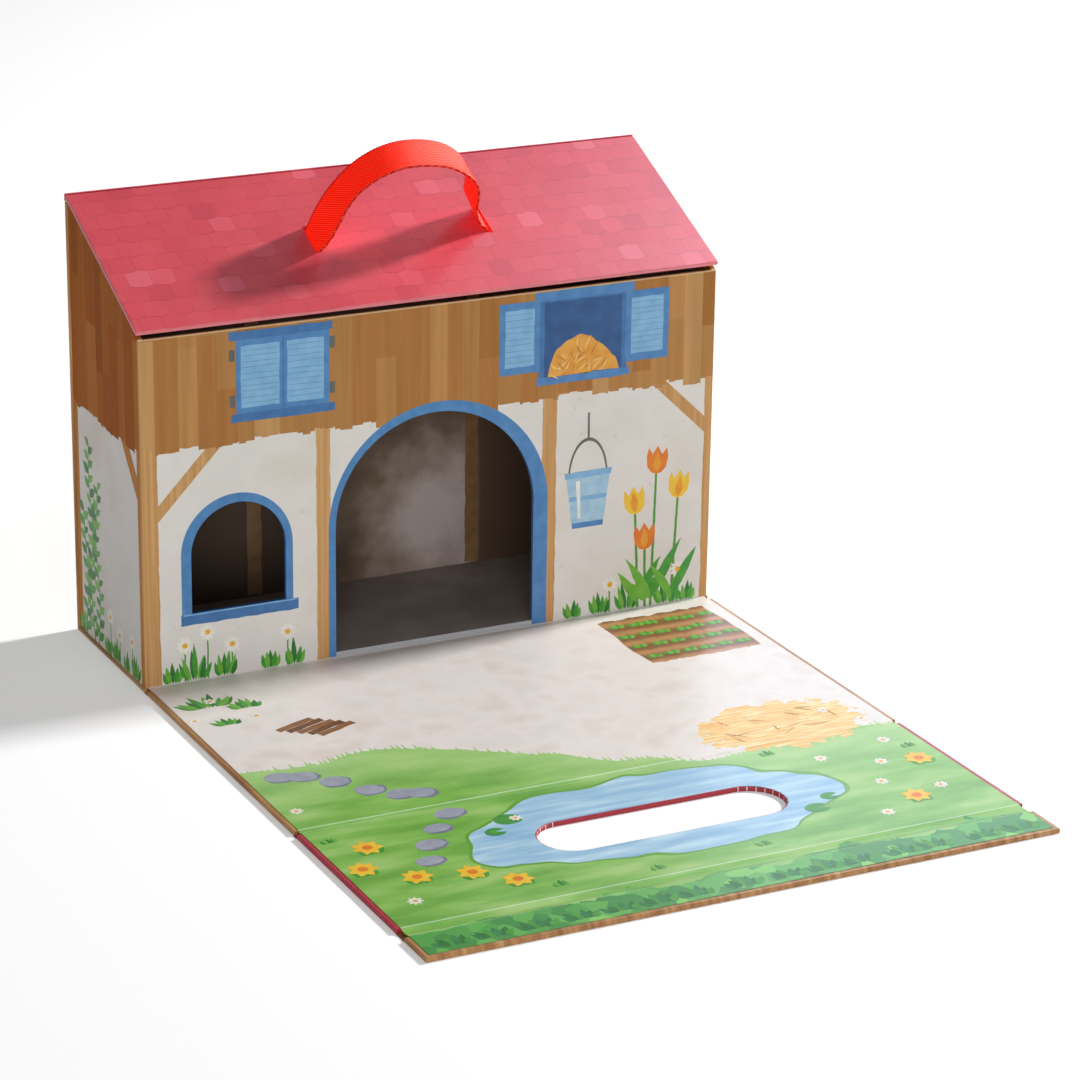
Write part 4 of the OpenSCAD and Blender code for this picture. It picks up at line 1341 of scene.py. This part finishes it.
tuft("yard", -149, -92, 9, 20, GREENS, spread=60, width=4.2)
tuft("yard", -131, -100, 7, 15, GREENS, spread=55, width=3.6)
tuft("yard", -148, -118, 6, 12, GREENS, spread=55, width=3.2)
for x, y in ((-163, -106), (-131, -112), (-146, -84)):
    daisy("yard", x, y, 4.0, 8)
for i in range(5):
    loose = turned(rectangle(0, 24, 0, 4.4), 20 + chance.uniform(-5, 5), (-128 + i * 4.5, -138 - i * 3.4))
    draw("yard", ("board_brown", "board_dark")[i % 2], loose, 2 + i)

for row in range(4):
    for i in range(6):
        x, y = 99 + i * 11 + chance.uniform(-1.5, 1.5), -79 - row * 15 + chance.uniform(-1, 1)
        if 94 < x < 158:
            tuft("yard", x, y, 4, 7.5, ("leaf_green", "grass_green"), spread=62, width=2.8, layer=3)
for i in range(34):
    x, y = chance.uniform(76, 146), chance.uniform(-254, -214)
    if ((x - 112) / 42) ** 2 + ((y + 236) / 26) ** 2 < 1 and -246 < y < -219:
        stalk("yard", x, y, (7, 12), 0.9, 0.8, (0, 360), 2 + i % 4)

for x, y, r in ((-70, -286, 7.5), (-82, -297, 5.6), (75, -337, 6.8), (88, -327, 5.2)):
    pad = [(0, 0)] + arc(0, 0, r, 25, 335, 20)
    draw("meadow", "lily_green", [(px + x, py * 0.8 + y) for px, py in pad], 2, 0.15)
    draw("meadow", "leaf_green", [(px * 0.55 + x - 0.4, py * 0.42 + y) for px, py in pad], 3, 0.1)
daisy("meadow", -66, -286, 3.6, 7)
for x, y in ((108, -284), (134, -300), (150, -276), (121, -322), (146, -338), (-150, -352), (104, -356)):
    daisy("meadow", x, y, 4.2, 8)
for x, y in ((142, -228), (155, -246), (-160, -234)):
    daisy("yard", x, y, 3.8, 8)
for x, y in ((-146, -296), (-158, -318), (-138, -336), (-112, -342), (-96, -358), (128, -352), (154, -312)):
    tuft("meadow", x, y, 5, 11, ("leaf_green", "stem_green"), spread=58, width=3.0)
    for i in range(7):
        turn = 360 / 7 * i + chance.uniform(-6, 6)
        draw("meadow", "tulip_yellow", turned(leaf(8.2, 5.4), turn, (x, y + 8)), 4 + i % 2, 0.08)
    draw("meadow", "tulip_orange", turned(blob(2.7, 2.7, 12), 0, (x, y + 8)), 6, 0)
for x, y in ((86, -270), (30, -366), (-30, -369), (-160, -276), (158, -290), (-80, -366)):
    tuft("meadow", x, y, 5, 7, GREENS, spread=50, width=2.4)
for i in range(15):
    x = -156 + i * 22 + chance.uniform(-4, 4)
    tuft("lip", x, -402, 6, 12, ("hedge_green", "deep_green", "leaf_green"), spread=66, width=4.4, layer=2)

# %% [markdown]
# ## The motifs' inks
# Each colour of the motifs is one printed ink under the same film, so it has the paper's half gloss. It drifts
# between two near tones every few millimetres, which gives the eye brush marks. Now that every shape is drawn,
# the meshes are finished, one for each board and colour.

# %% Finish the drawn shapes
INKS = {
    "surround_blue": ("#568FC9", "#4A82BE"), "deep_blue": ("#467CB8", "#3C70AD"),
    "slat_blue": ("#8EC0E8", "#80B4DF"), "slat_line": ("#6A9CC8", "#5F90BC"),
    "loft_blue": ("#2F609B", "#28548B"), "hinge_grey": ("#6E6E68", "#5F605C"),
    "bucket_blue": ("#9CC7E6", "#B4D6EC"), "hay_amber": ("#E79A33", "#F0B04C"),
    "hay_pale": ("#F9D98E", "#F5CB72"), "hay_dark": ("#C9812A", "#D98F30"),
    "leaf_green": ("#3F9A35", "#55AC3C"), "grass_green": ("#7CBF45", "#6AB23C"),
    "deep_green": ("#2C7A31", "#37873A"), "stem_green": ("#5BA63A", "#4C9634"),
    "hedge_green": ("#2F8443", "#3E9350"), "lily_green": ("#4FA24B", "#3F9146"),
    "petal_white": ("#FAF7F0", "#EFEAE0"), "yolk_yellow": ("#F4BE27", "#F0AE1E"),
    "tulip_yellow": ("#FBD03A", "#F7C22C"), "tulip_orange": ("#F08A24", "#E97A1E"),
    "tulip_shade": ("#F5A52A", "#EF9922"), "stone_grey": ("#ACB1BF", "#9BA1B0"),
    "stone_dark": ("#838A9B", "#767D8F"), "board_brown": ("#9C6B42", "#8C5E38"),
    "board_dark": ("#7C5230", "#6F4829"), "stable_post": ("#7E5C3B", "#8C6945"),
}
inks = {name: mottled(name + "_ink", a, b, patch_mm=6) for name, (a, b) in INKS.items()}
for (face, colour), bm in drawn.items():
    body = FACES[face][0]
    finish_piece(f"{face}_{colour}", bm, [inks[colour]], body)

# %% [markdown]
# ## The folds
# Between two boards the paper and cloth have nothing under them. On the mat side the print sinks into the
# gap and shows as a channel with two soft creases. Each fold is a strip across the case with that section,
# and a thin strip of wrap below it.

# %% Fold strips
def fold_strip(name, node, wrap, sink):
    """The print over a joint of the cover, sunk between the boards, and the wrap under it."""
    lo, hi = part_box(node)
    top, width = hi.z, hi.y - lo.y
    bm = bmesh.new()
    count = 14
    section = []
    for i in range(count + 1):
        t = i / count
        dip = sink * (0.5 - 0.5 * math.cos(2 * math.pi * t)) ** 0.5
        section.append((lo.y + width * t, top - dip))
    edge_x = hi.x - PRINT_MARGIN
    chain = [bm.verts.new((-edge_x, y, z)) for y, z in section]
    for a, b in zip(chain, chain[1:]):
        bm.edges.new((a, b))
    pulled = bmesh.ops.extrude_edge_only(bm, edges=bm.edges[:])["geom"]
    far_side = [v for v in pulled if isinstance(v, bmesh.types.BMVert)]
    bmesh.ops.translate(bm, vec=(2 * edge_x, 0, 0), verts=far_side)
    bmesh.ops.recalc_face_normals(bm, faces=bm.faces)
    if bm.faces[0].normal.z < 0:
        bmesh.ops.reverse_faces(bm, faces=bm.faces)
    bmesh.ops.solidify(bm, geom=bm.faces[:], thickness=0.2 * MM)
    strip = finish_piece(name + "_print", bm, [mat_paper], None, (node,))
    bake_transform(strip)
    below = bmesh.new()
    bmesh.ops.create_grid(below, x_segments=1, y_segments=10, size=0.5)
    bmesh.ops.scale(below, vec=(hi.x - lo.x, width, 1), verts=below.verts)
    bmesh.ops.translate(below, vec=(0, (lo.y + hi.y) / 2, CLOTH), verts=below.verts)
    bmesh.ops.solidify(below, geom=below.faces[:], thickness=CLOTH)
    cloth = finish_piece(name + "_wrap", below, [wrap], None, (node,))
    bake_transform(cloth)


fold_y, lip_y = pivot["cover_fold"].y, pivot["lip_fold"].y
for name, node, bodies, near_y, far_y, wrap, sink in (
    ("yard_joint", "yard_hinge", ("barn", "yard_flap"), -55.2 * MM, -56.3 * MM, brown_wrap, 0.5 * MM),
    (
        "middle_fold", "fold_hinge", ("yard_flap", "tile_flap"),
        fold_y + 1.5 * MM, fold_y - 1.5 * MM, red_wrap, 0.6 * MM,
    ),
    (
        "lip_crease", "lip_hinge", ("tile_flap", "lip_flap"),
        lip_y + 4.6 * MM, lip_y - 4.6 * MM, brown_wrap, 0.8 * MM,
    ),
):
    fold_strip(name, node, wrap, sink)

# %% [markdown]
# ## Floor, light and background
# The object stands on a white floor. A softbox high on the right, a little behind the front wall's plane, gives
# the handle's shadow on the roof and the bright right side. A wide, weak one low on the left opens the shadows
# of the front. Two weak cards stand where the films of the roof and of the mat mirror them to the camera. They
# light the gloss alone, so they lay a soft cool sheen over the papers and bleach no colour.
#
# The world is white to the camera and a low even fill for everything else. In gloss it is nearly black,
# because a white one would wash out the laminated papers. The floor adds a little white to what the camera
# sees, so that it runs into the white background and still keeps the shadow.

# %% Stage and lamps
floor_mesh = bmesh.new()
bmesh.ops.create_grid(floor_mesh, x_segments=1, y_segments=1, size=6)
floor_data = bpy.data.meshes.new("studio_floor")
floor_mesh.to_mesh(floor_data)
floor_mesh.free()
studio_floor = bpy.data.objects.new("studio_floor", floor_data)
bpy.context.scene.collection.objects.link(studio_floor)
# matt white studio paper: no gloss, so that it mirrors nothing
white = bpy.data.materials.new("white_sweep")
white.use_nodes = True
tree = white.node_tree
paint = tree.nodes["Principled BSDF"]
paint.inputs["Base Color"].default_value = (0.92, 0.92, 0.92, 1)
paint.inputs["Roughness"].default_value = 0.8
paint.inputs["Specular IOR Level"].default_value = 0.0
rays = add(tree, "LightPath", whole=True).outputs
FLOOR_LIFT = 0.26
lift = add(tree, "Math", {0: rays["Is Camera Ray"], 1: FLOOR_LIFT}, operation="MULTIPLY")
glow = add(tree, "Emission", {"Color": (1, 1, 1, 1), "Strength": lift})
both_shaders = add(tree, "AddShader", {0: paint.outputs[0], 1: glow})
tree.links.new(both_shaders, tree.nodes["Material Output"].inputs["Surface"])
floor_data.materials.append(white)

world = bpy.data.worlds.new("studio")
bpy.context.scene.world = world
world.use_nodes = True
tree = world.node_tree
rays = add(tree, "LightPath", whole=True).outputs
FILL, MIRRORED = 0.24, 0.03
strength = add(tree, "MapRange", {0: rays["Is Glossy Ray"], 3: FILL, 4: MIRRORED})
strength = add(tree, "Math", {0: strength, 1: rays["Is Camera Ray"]}, operation="MAXIMUM")
sky = tree.nodes["Background"]
sky.inputs["Color"].default_value = (1, 1, 1, 1)
tree.links.new(strength, sky.inputs["Strength"])


def lamp(name, aim, direction, distance, size, watts):
    """A square softbox that shines at a point from a direction."""
    light = bpy.data.lights.new(name, "AREA")
    light.size, light.energy = size, watts
    made = bpy.data.objects.new(name, light)
    bpy.context.scene.collection.objects.link(made)
    towards = Vector(direction).normalized()
    made.location = Vector(aim) + towards * distance
    made.rotation_mode = "QUATERNION"
    made.rotation_quaternion = towards.to_track_quat("Z", "Y")
    return made


# name, the point lit, direction of the lamp from there, distance, side, watts, and whether gloss alone sees it
for name, aim, direction, distance, size, watts, gloss_only in (
    ("key_softbox", (0, -0.05, 0.15), (1.60, 0.14, 1.0), 3.2, 0.30, 114, False),
    ("front_fill", (0, -0.05, 0.1), (-0.40, -1.0, 0.08), 3.0, 1.4, 36, False),
    ("roof_glint", (0.19, -0.06, 0.20), (0.58, 0.29, 0.77), 1.2, 0.44, 3.6, True),
    ("mat_glint", (0.12, -0.30, 0), (0.50, 0.77, 0.39), 2.2, 0.80, 7, True),
):
    softbox = lamp(name, aim, direction, distance, size, watts)
    if gloss_only:
        softbox.visible_diffuse = False
        softbox.data.color = (0.86, 0.95, 1.14)
print("lamps", [light.name for light in bpy.data.lights])
